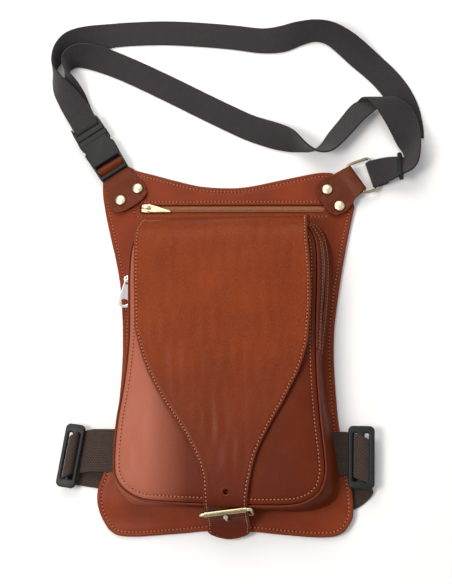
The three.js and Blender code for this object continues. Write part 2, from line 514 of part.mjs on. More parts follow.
// ---- box pocket ----
const seam = (r, t) => {
  const get = (k) => column(SEAM, k, r, true);
  const x = mix(get("baseX"), get("frontX"), t),
    y = mix(get("baseY"), get("frontY"), t);
  const low = baseTop(get("baseX"), get("baseY")) + GAP + 0.3;
  return new THREE.Vector3(x, y, mix(low, RIM_Z - 1.5, t));
};
// The wall bellies outwards a little between its two seams.
const outward = (r, t) => {
  const e = 0.02;
  const du = seam(r + e, t).sub(seam(r - e, t));
  const dv = seam(r, 1).sub(seam(r, 0));
  return du.cross(dv).normalize().negate();
};
const seamWall = (r, t, out = 0) => seam(r, t).addScaledVector(outward(r, t), out + 1.6 * 4 * t * (1 - t));
const STEP = 2, // columns of the wall to each row of SEAM
  WALL_T = [0, 0.2, 0.42, 0.62, 0.82, 1];
const WALL_N = SEAM.length * STEP;
const inZip = (i) => {
  const r = i / STEP;
  return r < ZIP_TO || r >= ZIP_FROM + SEAM.length;
};
add("pocket_gusset", wall(WALL_N, WALL_T.length - 1, (i, j) => seamWall(-i / STEP, WALL_T[j]), POCKET_T, { ring: true, skip: (i, j) => j === 2 && inZip((WALL_N - 1 - i) % WALL_N) }), "leather");
const ZIP_T = [0.345, 0.465, 0.49, 0.55, 0.575, 0.695],
  ZIP_N = (ZIP_TO - ZIP_FROM) * STEP + 2;
const chain = (i, j) => j > 1 && j < 4 && i > 1 && i < ZIP_N - 1; // the closed chain stands up in the slot, the tape lies under the leather
add("main_zip", wall(ZIP_N, ZIP_T.length - 1, (i, j) => seamWall(ZIP_TO + 0.5 - i / STEP, ZIP_T[j], chain(i, j) ? -0.75 : -1.8), (i, j) => (chain(i, j) ? 2.6 : 0.8)), "zip");
// The pocket's front is a dome inside its seam; its own back arches over the leg strap.
const seamPoint = (kind, grow) => (r) => {
  const x = column(SEAM, kind + "X", r, true),
    y = column(SEAM, kind + "Y", r, true);
  return [x * (1 + grow / 85), y * (1 + grow / 125)];
};
const span = (from, to) => (t) => mix(from, to, t);
function pocketPatch(kind, grow) {
  const at = seamPoint(kind, grow);
  const top = span(CORNER.topLeft, CORNER.topRight + SEAM.length),
    right = span(CORNER.bottomRight, CORNER.topRight),
    bottom = span(CORNER.bottomLeft, CORNER.bottomRight),
    left = span(CORNER.bottomLeft, CORNER.topLeft);
  return patch((u) => at(bottom(u)), (u) => at(top(u)), (v) => at(left(v)), (v) => at(right(v)));
}
const frontPatch = pocketPatch("front", 0.8),
  basePatch = pocketPatch("base", 0.5);
const rise = (s) => 1 - Math.abs(2 * s - 1) ** 7;
const FRONT_U = 11,
  FRONT_V = 13;
add("pocket_front", wall(FRONT_U, FRONT_V, (i, j) => {
  const [u, v] = [i / FRONT_U, j / FRONT_V];
  const [x, y] = frontPatch(u, v);
  return new THREE.Vector3(x, y, RIM_Z + DOME * rise(u) * rise(v));
}, POCKET_T), "leather");
const BASE_U = 7,
  BASE_V = 20;
add("pocket_back", wall(BASE_U, BASE_V, (i, j) => {
  const v = j < 14 ? (0.5 * j) / 14 : mix(0.5, 1, (j - 14) / 6);
  const [x, y] = basePatch(i / BASE_U, v);
  return new THREE.Vector3(x, y, baseTop(x, y) - BASE_T / 2);
}, BASE_T), "leather");

// ---- main zip slider and its pierced puller, on the left wall ----
const sliderRow = 26.8,
  sliderT = 0.52;
const wallFrame = (r, t, out) => {
  const n = outward(r, t),
    along = seam(r + 0.05, t).sub(seam(r - 0.05, t)).normalize();
  const up = n.clone().cross(along);
  return new THREE.Matrix4().makeBasis(along, up, n).setPosition(seamWall(r, t, out));
};
const sliderMatrix = wallFrame(sliderRow, sliderT, 1.9);
const turnedHere = sliderMatrix.clone().multiply(place(0, 0, 0, 180));
add("main_zip_slider", slider(turnedHere, 8, 10, 2, 4.6), "silver");
const PULLER = [
  { s: -3.1, half: 1.2 },
  { s: -2.2, half: 2.3 },
  { s: 0, half: 2.8 },
  { s: 6, half: 3.6 },
  { s: 14, half: 4.8 },
  { s: 19, half: 5.2 },
  { s: 22.4, half: 4.4 },
  { s: 24.4, half: 2 },
];
const pullerOutline = [...PULLER.map((p) => [p.s, -p.half]), ...PULLER.slice().reverse().map((p) => [p.s, p.half])];
add("main_zip_puller", plate(pullerOutline, [circle(1.9, 10), shifted(circle(2.6, 10), 18.6)], 1.1, turnedHere.clone().multiply(place(2.8, 0, 3.35, -20, -10, -40))), "silver");

// ---- flap ----
const FLAP_U = 6,
  FLAP_V = FLAP.length - 1;
let flap = wall(FLAP_U, FLAP_V, (i, j) => {
  const row = FLAP[j];
  const tilt = j < 3 ? TOP_ZIP.slope : 0;
  const x = mix(row.left, row.right, i / FLAP_U);
  return new THREE.Vector3(x, row.y + tilt * x, row.z);
}, FLAP_T);
flap = flap.subtract(rod(2, 12, place(5.8, -122.6, 44.5, 0, 0, 90), 10)); // spare hole
flap = flap.subtract(rod(2.6, 9, place(FLAP_BUCKLE.x + 0.4, -144.4, 23.9, 0, 0, 14), 10)); // the prong's hole
add("flap", flap, "leather");

// ---- flap buckle: a wire frame, a roller on its outer side, a prong on its inner side, and the chape that holds it ----
const fb = FLAP_BUCKLE;
const frameCorner = (x, y, z) => [fb.x + x, y, z];
const side = fb.inside + BUCKLE_WIRE + 0.15;
const soften = (a, b, t) => a.map((v, k) => mix(v, b[k], t));
const corners = [frameCorner(-side, fb.rollerY, fb.rollerZ), frameCorner(side, fb.rollerY, fb.rollerZ), frameCorner(side, fb.pinY, fb.pinZ), frameCorner(-side, fb.pinY, fb.pinZ)];
const ringPoints = (c, cut) => c.flatMap((p, i) => [soften(p, c[(i + c.length - 1) % c.length], cut[i][0]), soften(p, c[(i + 1) % c.length], cut[i][1])]);
add("flap_buckle_frame", wire(ringPoints(corners, [[0.12, 0.045], [0.045, 0.12], [0.12, 0.045], [0.045, 0.12]]), BUCKLE_WIRE, 6, true, 24), "brass");
const hollowRod = (inner, outer, length, matrix) => rod(outer, length, matrix, 14).subtract(rod(inner, length + 2, matrix, 14));
const xAxis = (x, y, z) => new THREE.Matrix4().makeRotationZ(Math.PI / 2).setPosition(x, y, z);
add("flap_buckle_roller", hollowRod(BUCKLE_WIRE + 0.35, ROLLER_R, 36.4, xAxis(fb.x, fb.rollerY, fb.rollerZ)), "brass");
const prongX = fb.x + 0.4;
let prong = hollowRod(BUCKLE_WIRE + 0.35, BUCKLE_WIRE + 1.2, 2.6, xAxis(prongX, fb.pinY, fb.pinZ));
prong = prong.add(wire([[prongX, fb.pinY - 1.9, fb.pinZ + 1.4], [prongX, -144.4, 23.4], [prongX, -145.6, 28.5], [prongX, -144.6, 34], [prongX, -142.9, 38.4]], 1.1, 6, false, 8));
add("flap_buckle_prong", prong, "brass");
const CHAPE = [
  { y: -151.5, z: 7.2 },
  { y: -147.6, z: 7.5 },
  { y: -145, z: 9.2 },
  { y: -143.9, z: 13 },
  { y: -143.7, z: 17 },
  { y: -143.3, z: 21 },
  { y: -142, z: 22.9 },
  { y: -140.3, z: 23.4 },
  { y: -138.6, z: 22.8 },
  { y: -137.6, z: 20.6 },
  { y: -138, z: 15.5 },
  { y: -139.2, z: 10.8 },
];
let chape = wall(2, CHAPE.length - 1, (i, j) => new THREE.Vector3(mix(fb.x - 14, fb.x + 14, i / 2), CHAPE[j].y, CHAPE[j].z), 1.6);
chape = chape.subtract(box(4.2, 10.4, 9.5, place(prongX, -141.9, 20.4)));
add("buckle_chape", chape, "lug_leather");

// ---- lugs: a strap of leather folded round a bar, both leaves on the panel, held by two rivets ----
const LEAF_LOW = 5.85,
  LEAF_TOP = 8.1,
  WRAP = 3.0;
function lug(at) {
  // down the lower leaf, round the bar, back along the upper leaf: reach is how far the bar lies past the lug's neck
  const half = (back) => {
    let i = 0;
    while (i < LUG.length - 2 && LUG[i + 1].back < back) i++;
    return column(LUG, "half", i + Math.max(0, (back - LUG[i].back) / (LUG[i + 1].back - LUG[i].back)));
  };
  const path = [];
  for (const back of [33, 28, 21, 14, 7]) path.push({ back, z: LEAF_LOW, half: half(back) - 0.6 });
  if (at.reach) path.push({ back: 0, z: LEAF_LOW, half: 12.9 });
  for (const a of [-90, -45, 0, 45, 90]) path.push({ back: -at.reach - WRAP * Math.cos(rad(a)), z: LEAF_LOW + WRAP + WRAP * Math.sin(rad(a)), half: at.reach ? 12.7 : 13.3 });
  if (at.reach) path.push({ back: -6.2, z: LEAF_TOP + 2.9, half: 12.7 }, { back: -4, z: LEAF_TOP + 0.8, half: 12.7 }, { back: 0, z: LEAF_TOP + 0.1, half: 13 });
  else path.push({ back: 4.5, z: 10.6, half: 14.2 });
  for (const back of [10, 16, 21, 26, 31.5, 35.6, 37.4]) path.push({ back, z: back < 12 ? LEAF_TOP + 0.35 : LEAF_TOP, half: half(back) });
  const [c, s] = [Math.cos(rad(at.turn)), Math.sin(rad(at.turn))];
  return wall(2, path.length - 1, (i, j) => {
    const p = path[j],
      b = mix(p.half, -p.half, i / 2) - (p.back > 12 ? 1.2 : 0) * Math.sign(90 - at.turn);
    return new THREE.Vector3(at.x - p.back * c - b * s, at.y - p.back * s + b * c, p.z);
  }, LUG_T);
}
for (const [name, at, rivets] of [["lug_left", LUG_LEFT, RIVETS.slice(0, 2)], ["lug_right", LUG_RIGHT, RIVETS.slice(2)]]) {
  let leather = lug(at);
  for (const r of rivets) leather = leather.subtract(rod(2.2, 16, place(r.x, r.y, 8, 0, 0, 90), 10));
  add(name, leather, "lug_leather");
}
// A rivet: its foot sits in a hole of the back panel, its post goes up through the leather, and its cap is domed.
for (const r of RIVETS) {
  const under = lift(r.x, r.y);
  add(r.name, turned([[0, under + 0.15], [4.3, under + 0.15], [4.3, under + 1.6], [1.8, under + 1.8], [1.8, 9.3], [RIVET_R, 9.35], [RIVET_R, 10.1], [RIVET_R * 0.8, 10.9], [0, 11.2]], place(r.x, r.y, 0), 10), "brass");
}

// ---- D-ring through the right lug ----
const ring = [[109.4, 175.4, 8.9], [130.4, 183.6, 5.7], [138.4, 153.4, 5.6], [126.2, 148.6, 8.9]];
add("d_ring", wire(ringPoints(ring, [[0.08, 0.1], [0.1, 0.07], [0.07, 0.18], [0.18, 0.08]]), RING_R, 6, true, 26), "brass");

// ---- side-release buckle on the left lug; u runs from the lug to the waist webbing ----
const buckleAt = new THREE.Matrix4().makeRotationZ(rad(LUG_LEFT.turn)).setPosition(LUG_LEFT.x, LUG_LEFT.y, 6.9);
const local = (x, y, z) => buckleAt.clone().multiply(new THREE.Matrix4().makeTranslation(x, y, z));
const FEMALE = [
  { u: -0.8, half: 13.6 },
  { u: 0.8, half: 14.6 },
  { u: 12, half: 14.9 },
  { u: 29, half: 15.8 },
  { u: 30, half: 15.6 },
  { u: 31.4, half: 13.4 },
  { u: 36.4, half: 13.2 },
  { u: 38.2, half: 15.6 },
  { u: 44.4, half: 15.4 },
];
const outlineOf = (rows) => [...rows.map((p) => [p.u, -p.half]), ...rows.slice().reverse().map((p) => [p.u, p.half])];
let female = plate(outlineOf(FEMALE), [shifted(rounded(11.6, 26.4, 1, 1), 8.6)], 11.4, local(0, 0, 0));
female = female.add(rod(1.35, 27.6, local(LUG_LEFT.reach, 0, LEAF_LOW + WRAP - 6.9), 10)); // bar that the lug is folded round
female = female.subtract(box(10, 26.4, 9.6, local(-0.2, 0, -1.9))).subtract(box(6, 40, 6, local(-0.6, 0, -4))); // the leather passes under the end bar
female = female.subtract(box(29, 24.4, 6.4, local(31.2, 0, 0))); // room for the male half's prongs
female = female.subtract(box(5, 40, 6.4, local(33.9, 0, 0))); // the release tabs show in the side notches
add("buckle_female", female, "plastic");
const MALE_BASE = [
  { u: 44.8, half: 15.3 },
  { u: 52, half: 15.2 },
  { u: 58.4, half: 14.6 },
  { u: 60.2, half: 14.1 },
];
let male = plate(outlineOf(MALE_BASE), [], 10.6, local(0, 0, 0));
male = male.subtract(box(12, 27.6, 12, local(56.8, 0, 0))); // the mouth that the webbing enters
male = male.add(box(2.6, 28, 2, local(57.6, 0, -0.1))); // the bar that it turns round
for (const s of [-1, 1]) male = male.add(plate([[45.2, 8.6 * s], [45.2, 11.6 * s], [36.1, 11.8 * s], [35.4, 14.4 * s], [32.8, 14.4 * s], [32, 11.6 * s], [24, 11 * s], [24, 8.8 * s], [31, 8.8 * s]].slice()[s > 0 ? "reverse" : "slice"](), [], 5, local(0, 0, 0)));
male = male.add(box(24, 4, 4.6, local(33.4, 0, 0)));
add("buckle_male", male, "plastic");

// ---- waist webbing and its tri-glide ----
function webbing(rows, thick, across, steps) {
  const n = (rows.length - 1) * steps;
  return wall(across, n, (i, j) => {
    const r = j / steps,
      get = (k) => column(rows, k, r);
    const w = (i / across - 0.5) * get("wide");
    const [turn, tip] = [rad(get("turn")), rad(rows[0].rise === undefined ? 0 : get("rise"))];
    const rest = (get("wide") / 2) * Math.abs(Math.sin(tip)) + (thick / 2) * Math.abs(Math.cos(tip)) + 0.05; // no lower than the floor
    return new THREE.Vector3(get("x") + w * Math.cos(turn) * Math.cos(tip), get("y") + w * Math.sin(turn) * Math.cos(tip), Math.max(get("z"), rest) + w * Math.sin(tip));
  }, thick);
}
add("waist_strap_upper", webbing(WAIST_UPPER, WAIST_T, 1, 2), "webbing");
add("waist_strap_lower", webbing(WAIST_LOWER, WAIST_T, 1, 2), "webbing");

// ---- leg strap: one loop, under the box pocket in front and under the bag behind, through an adjuster at each end ----
const frontRun = [];
for (const x of [106.4, 100, 90, 75, 55, 30, 0, -30, -55, -75, -90, -100, -108, -114, -121]) {
  const y = frontRunY(x);
  frontRun.push({ x, y, wide: LEG_W, turn: x > 90 ? 89 : x < -110 ? 88 : 90 });
}
const LOOP = [...frontRun, ...LEG_STRAP];
const onPanel = (x) => plateau(Math.max(0, -x), 112, 128);
add(
  "leg_strap",
  wall(LOOP.length, 3, (i, j) => {
    const row = LOOP[i];
    const w = (j / 3 - 0.5) * row.wide;
    const x = row.x + w * Math.cos(rad(row.turn)),
      y = row.y + w * Math.sin(rad(row.turn));
    const z = row.z === undefined ? mix(6.7, faceTop(x, y) + GAP + 0.1 + LEG_T / 2, onPanel(row.x)) : row.z;
    return new THREE.Vector3(x, y, z);
  }, LEG_T, { ring: true }),
  "webbing",
);
// Each adjuster is a plate with two slots, and the webbing rises through one, turns over the middle bar and goes down through the other.
const adjuster = (at, wide, slots) =>
  plate(rounded(wide, at.long, 4.5, 3), slots.map(([x, w]) => shifted(rounded(w, 49, 1, 1), x)), 3, place(at.x, at.y, at.z, at.turn - 90));
add("leg_slider_left", adjuster(LEG_SLIDER_LEFT, 18, [[-3.9, 4.6], [3.9, 4.6]]), "plastic");
add("leg_slider_right", adjuster(LEG_SLIDER_RIGHT, 23, [[-5.9, 5.0], [5.6, 4.4]]), "plastic");
// The waist strap's tri-glide stands where the strap turns towards the ring.
const ws = WAIST_SLIDER;
const strapFrame = (rows, r) => {
  const at = (q) => new THREE.Vector3(column(rows, "x", q), column(rows, "y", q), column(rows, "z", q));
  const [turn, tip] = [rad(column(rows, "turn", r)), rad(column(rows, "rise", r))];
  const across = new THREE.Vector3(Math.cos(turn) * Math.cos(tip), Math.sin(turn) * Math.cos(tip), Math.sin(tip));
  const ahead = at(r + 0.2).sub(at(r - 0.2)).projectOnPlane(across).normalize();
  return new THREE.Matrix4().makeBasis(across, ahead.clone().cross(across), ahead).setPosition(at(r));
};
add("waist_slider", plate(rounded(ws.long, ws.high, 1.8, 2), [rounded(ws.slotLong, ws.slotHigh, 0.5, 1)], ws.wide, strapFrame(WAIST_LOWER, ws.row)), "plastic");
group.updateMatrixWorld(true);
export default group;
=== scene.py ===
# %% [markdown]
# A leather thigh bag, dressed
#
# The bag is two flat hourglass panels of leather sewn together round their edge, with a box pocket on the
# front, a long flap that is pulled through a roller buckle, a waist strap on a side-release buckle and a
# wide webbing loop that goes round the leg. Its construction is already there as plain solids, in a fixed
# frame. This script keeps their places and makes each piece again as the maker would see it: leather with
# a rounded cut edge and a sewn groove, thread, woven webbing, moulded plastic and plated metal.
#
# Every new piece is a surface worked out with numpy: points on a grid, as whole arrays. Lengths are in
# millimetres up to the moment when a mesh is made, and the frame is in metres.

# %% Load the frame
import math

import bmesh
import bpy
import numpy as np
from mathutils import Matrix, Vector


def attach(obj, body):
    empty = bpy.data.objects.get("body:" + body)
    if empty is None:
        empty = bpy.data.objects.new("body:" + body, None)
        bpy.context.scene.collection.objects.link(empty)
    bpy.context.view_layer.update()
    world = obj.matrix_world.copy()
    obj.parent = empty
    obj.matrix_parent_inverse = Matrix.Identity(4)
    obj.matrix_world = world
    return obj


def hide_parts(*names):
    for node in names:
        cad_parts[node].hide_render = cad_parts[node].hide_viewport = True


MM = 0.001
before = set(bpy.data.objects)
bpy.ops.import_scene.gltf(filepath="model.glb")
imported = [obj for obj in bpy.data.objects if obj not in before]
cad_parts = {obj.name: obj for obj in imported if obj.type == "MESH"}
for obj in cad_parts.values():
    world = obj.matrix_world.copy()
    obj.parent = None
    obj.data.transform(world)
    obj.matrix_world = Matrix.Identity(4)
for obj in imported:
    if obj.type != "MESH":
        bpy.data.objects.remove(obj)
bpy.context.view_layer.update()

# %% [markdown]
# The camera
#
# The bag lies on its back and is seen from above, a little from its lower right. A camera is placed by
# three directions: where it stands, what it looks at and which way is up. Up leans by less than a degree.

# %% Camera
EYE = Vector((128, -150, 975)) * MM
AIM = Vector((-2, 60, 0)) * MM
UP = Vector((-0.0122, 1, 0))
LENS = 67.3  # on a 36 mm long side

camera = bpy.data.objects.new("camera", bpy.data.cameras.new("camera"))
bpy.context.scene.collection.objects.link(camera)
ahead = (AIM - EYE).normalized()
right = ahead.cross(UP).normalized()
turned = Matrix((right, right.cross(ahead), -ahead)).transposed().to_4x4()
camera.matrix_world = Matrix.Translation(EYE) @ turned
camera.data.sensor_width, camera.data.lens = 36, LENS
bpy.context.scene.camera = camera
print("camera distance in mm:", round((AIM - EYE).length / MM))

# %% [markdown]
# Meshes from arrays
#
# One function turns arrays into a Blender mesh. It takes corners of faces as an array of three or four
# columns, and reads values at the points: a UV map in metres, so that a weave keeps its real size on a
# strap that turns and folds, and named numbers such as how near a point lies to the leather's cut edge.
# Every surface here is closed: if one comes out inside out, its volume is negative, and its faces are
# turned round.

# %% A mesh from arrays
def put(name, points, faces, material, replaces=(), slot=None, uv=None, **values):
    """An object called name with these points, in mm, and faces; it rides on the one body of the bag."""
    points = np.asarray(points, float).reshape(-1, 3)
    used, numbers = np.unique(faces, return_inverse=True)
    points, faces = points[used], numbers.reshape(np.shape(faces))
    a, b, c = points[faces[:, 0]], points[faces[:, 1]], points[faces[:, 2]]
    volume = np.einsum("ij,ij->", a, np.cross(b, c))
    if faces.shape[1] == 4:
        volume += np.einsum("ij,ij->", a, np.cross(c, points[faces[:, 3]]))
    if volume < 0:
        faces = faces[:, ::-1]
    mesh = bpy.data.meshes.new(name)
    mesh.vertices.add(len(points))
    mesh.vertices.foreach_set("co", (points * MM).ravel())
    mesh.loops.add(faces.size)
    mesh.loops.foreach_set("vertex_index", faces.ravel())
    mesh.polygons.add(len(faces))
    mesh.polygons.foreach_set("loop_start", np.arange(len(faces)) * faces.shape[1])
    if uv is not None:
        layer = mesh.uv_layers.new(name="along")
        layer.data.foreach_set("uv", (np.asarray(uv).reshape(-1, 2)[used][faces.ravel()] * MM).ravel())
    for key, value in values.items():
        mesh.attributes.new(key, "FLOAT", "POINT").data.foreach_set("value", np.ravel(value)[used])
    mesh.update(calc_edges=True)
    mesh.validate()
    mesh.polygons.foreach_set("use_smooth", np.full(len(mesh.polygons), True))
    mesh.materials.append(material)
    thing = bpy.data.objects.new(name, mesh)
    bpy.context.scene.collection.objects.link(thing)
    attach(thing, "root")
    for node in [replaces] if isinstance(replaces, str) else replaces:
        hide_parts(node)
    print(f"{name}: {len(points)} points, {len(faces)} faces")
    return thing


def cells(index, ring=False):
    """The four corners of every cell of a grid of point numbers; ring joins its last row to its first."""
    if ring:
        index = np.concatenate([index, index[:1]])
    return np.stack([index[:-1, :-1], index[1:, :-1], index[1:, 1:], index[:-1, 1:]], -1).reshape(-1, 4)


# %% [markdown]
# Smooth curves through short tables
#
# An outline or a strap is a short table with a row for each bend. A Catmull-Rom curve passes through every
# row with no corner between them, so a dozen rows give a smooth edge. The same formula works on one column
# or on all of them together, and on any array of places along the table.

# %% Curves through tables
def curve(table, place, closed=False):
    """The row at a place along a table: a cubic through the two rows round it, with the slopes that their
    neighbours give (Catmull-Rom). place counts rows and may be any array."""
    table, place = np.asarray(table, float), np.asarray(place, float)
    first = np.floor(place).astype(int)
    t = (place - first)[..., None]

    def row(k):
        return table[(first + k) % len(table)] if closed else table[np.clip(first + k, 0, len(table) - 1)]

    a, b, c, d = row(-1), row(0), row(1), row(2)
    return 0.5 * (2 * b + (c - a) * t + (2 * a - 5 * b + 4 * c - d) * t**2 + (3 * b - a - 3 * c + d) * t**3)


def path_length(path):
    """The straight-line length from the start of a path of points to each of them."""
    return np.concatenate([[0], np.cumsum(np.linalg.norm(np.diff(path, axis=0), axis=1))])


def along(table, share):
    """The point at a share, 0 to 1, of the straight-line length of a table of points."""
    table = np.asarray(table, float)
    length = path_length(table)
    return curve(table, np.interp(np.asarray(share) * length[-1], length, np.arange(len(table))))


def patch(bottom, top, left, right, u, v):
    """A Coons patch: the two ways of joining opposite edges by straight lines, added, less the one that
    joins the four corners. Edges are functions of a share; u and v are grids of shares."""
    ends = np.array([0.0, 1.0])
    (b0, b1), (t0, t1) = bottom(ends), top(ends)
    u1, v1 = u[..., None], v[..., None]
    across = (1 - v1) * bottom(u) + v1 * top(u)
    up = (1 - u1) * left(v) + u1 * right(v)
    corners = (1 - v1) * ((1 - u1) * b0 + u1 * b1) + v1 * ((1 - u1) * t0 + u1 * t1)
    return across + up - corners


def plateau(distance, flat, end):
    """1 up to flat, then half a cosine wave down to 0 at end."""
    return 0.5 + 0.5 * np.cos(np.pi * np.clip((distance - flat) / (end - flat), 0, 1))


def hill(x, middle, width):
    """A smooth hump: 1 at the middle, falling off as a bell of this width."""
    return np.exp(-(((x - middle) / width) ** 2))


WAVES = 7


def uneven(x, y, size, seed):
    """Soft unevenness between about -1 and 1: a few sine waves with lengths near size, each of them in a
    direction and with a start drawn from the seed, added up."""
    draw = np.random.default_rng(seed)
    turn, start = draw.uniform(0, 2 * np.pi, WAVES), draw.uniform(0, 2 * np.pi, WAVES)
    stretch = draw.uniform(0.7, 1.8, WAVES)
    phase = (x[..., None] * np.cos(turn) + y[..., None] * np.sin(turn)) * 2 * np.pi / (size * stretch) + start
    return np.sin(phase).sum(-1) / (WAVES / 2)


# %% [markdown]
# Leather and webbing as shells
#
# A flat piece could be a plane with a Solidify modifier, but its cut edge would be a sharp step, and the
# edge is what makes leather look like leather. Here the wall is thinned to nothing along a half circle as
# it nears its edge, so the rim is round, and the two faces share their last row of points. The grid lines
# are close together near the edge, where the rim and the sewn groove are, and wide apart in the middle.

# %% Shells with a rounded rim
EDGE_LINES = np.array([0, 0.08, 0.3, 0.7, 1.3, 2.1, 2.9, 3.5, 4.0, 4.5, 5.1, 6.0, 7.4])  # mm from the edge
SEWN = 4.0  # mm from the cut edge to the row of stitches


def lines(length, step, near=EDGE_LINES):
    """Shares of a length: the close lines at both ends, and lines a step apart between them."""
    middle = np.linspace(near[-1], length - near[-1], max(3, round((length - 2 * near[-1]) / step)))[1:-1]
    return np.concatenate([near, middle, length - near[::-1]]) / length


def run(points, axis):
    """The length covered along the grid lines of one direction, from their start."""
    step = np.linalg.norm(np.diff(points, axis=axis), axis=-1)
    start = np.zeros_like(np.take(step, [0], axis=axis))
    return np.concatenate([start, np.cumsum(step, axis=axis)], axis=axis)


def edge_distance(points, ring=False):
    """How far each point of a sheet is from its nearest edge, measured along the grid lines."""
    v = run(points, 1)
    distance = np.minimum(v, v[:, -1:] - v)
    if ring:
        return distance
    u = run(points, 0)
    return np.minimum(distance, np.minimum(u, u[-1:] - u))


def unit(v):
    return v / np.maximum(np.linalg.norm(v, axis=-1, keepdims=True), 1e-9)


def face_normals(points, ring=False):
    """Unit normals: the cross product of the differences between neighbours along the two directions."""
    if ring:
        du = np.roll(points, -1, 0) - np.roll(points, 1, 0)
    else:
        du = np.gradient(points, axis=0)
    return unit(np.cross(du, np.gradient(points, axis=1)))


def shell(name, mid, thick, material, ring=False, relief=0.0, hole=None, distance=None, **more):
    """A closed wall round a middle surface: each face lies half the thickness away along the normal, less
    within that distance of the edge, where it follows a half circle. relief moves the upper face only.
    hole marks the cells that are left open. Returns the object and its upper face."""
    normal = face_normals(mid, ring)
    distance = edge_distance(mid, ring) if distance is None else distance
    radius = np.asarray(thick) / 2
    half = radius * np.sqrt(1 - (1 - np.clip(distance / radius, 0, 1)) ** 2)
    relief = relief * np.clip(distance / radius, 0, 1)
    upper = mid + normal * (half + relief)[..., None]
    lower = mid - normal * half[..., None]
    index = np.arange(mid[..., 0].size).reshape(mid.shape[:2])
    below = np.where(distance < 1e-6, index, index + index.size)
    keep = slice(None) if hole is None else ~hole.ravel()
    faces = np.concatenate([cells(index, ring)[keep], cells(below, ring)[keep][:, ::-1]])
    rim = np.clip(1 - distance / (1.1 * radius), 0, 1)
    thing = put(name, np.concatenate([upper.reshape(-1, 3), lower.reshape(-1, 3)]), faces, material,
                rim=np.tile(rim.ravel(), 2), **more)
    return thing, upper


def groove(distance, inset=SEWN, deep=0.35):
    """What sewing does to a leather edge: a narrow furrow under the thread, with the leather swelling softly
    on both sides of it."""
    furrow = -deep * hill(distance, inset, 0.75)
    swell = 0.3 * deep * (hill(distance, inset - 2.0, 1.1) + hill(distance, inset + 2.4, 1.5))
    return furrow + swell


# %% [markdown]
# Materials
#
# Colours are written as they look on a screen, as hex values, and one function turns them into the linear
# values that light needs. One small function adds a node: constants go on its sockets, and a socket of
# another node becomes a link.

# %% Node helper and colours
def linear(hex_value):
    """An sRGB hex colour as linear red, green, blue and 1."""
    channels = [int(hex_value[i : i + 2], 16) / 255 for i in (1, 3, 5)]
    return (*[c / 12.92 if c <= 0.04045 else ((c + 0.055) / 1.055) ** 2.4 for c in channels], 1.0)


def add(tree, kind, inputs=None, **settings):
    """A node of this kind with its settings; inputs gives a constant or another node's output by socket."""
    node = tree.nodes.new(kind)
    for key, value in settings.items():
        setattr(node, key, value)
    for key, value in (inputs or {}).items():
        if isinstance(value, bpy.types.NodeSocket):
            tree.links.new(value, node.inputs[key])
        else:
            node.inputs[key].default_value = value
    return node.outputs[0]


def start(name, **shader):
    """A new material, its node tree and its Principled shader with these constants."""
    material = bpy.data.materials.new(name)
    material.use_nodes = True
    principled = material.node_tree.nodes["Principled BSDF"]
    for key, value in shader.items():
        principled.inputs[key.replace("_", " ")].default_value = value
    return material, material.node_tree, principled


def maths(tree, operation, a, b=0.0):
    """One sum between two sockets or numbers."""
    return add(tree, "ShaderNodeMath", {0: a, 1: b}, operation=operation)


def blend(tree, share, low, high):
    """Mixes two colours, each a socket or a linear colour, by a share from 0 to 1."""
    mixer = tree.nodes.new("ShaderNodeMix")
    mixer.data_type = "RGBA"
    for key, value in ((0, share), (6, low), (7, high)):
        if isinstance(value, bpy.types.NodeSocket):
            tree.links.new(value, mixer.inputs[key])
        else:
            mixer.inputs[key].default_value = value
    return mixer.outputs[2]


# %% [markdown]
# Full-grain leather
#
# Cowhide keeps its own surface: cells about a millimetre wide with fine furrows between them, finer pores,
# and clouds of lighter and darker dye that sank in unevenly. It is dyed through, waxed and rubbed, which
# leaves a soft gloss. Pulled-up leather is streaky along the hide, which is a noise stretched along Y. The
# cut edge is painted a darker brown, and takes over near the rim. All of it reads the object's own metres.

# %% Leather
CUT_EDGE, SHEEN_PAINT, FREE_END_DARK = "#5a230f", "#8d5140", "#431407"  # painted edge, painted highlight for the left lamp's sheen, darker tone towards the flap's free end
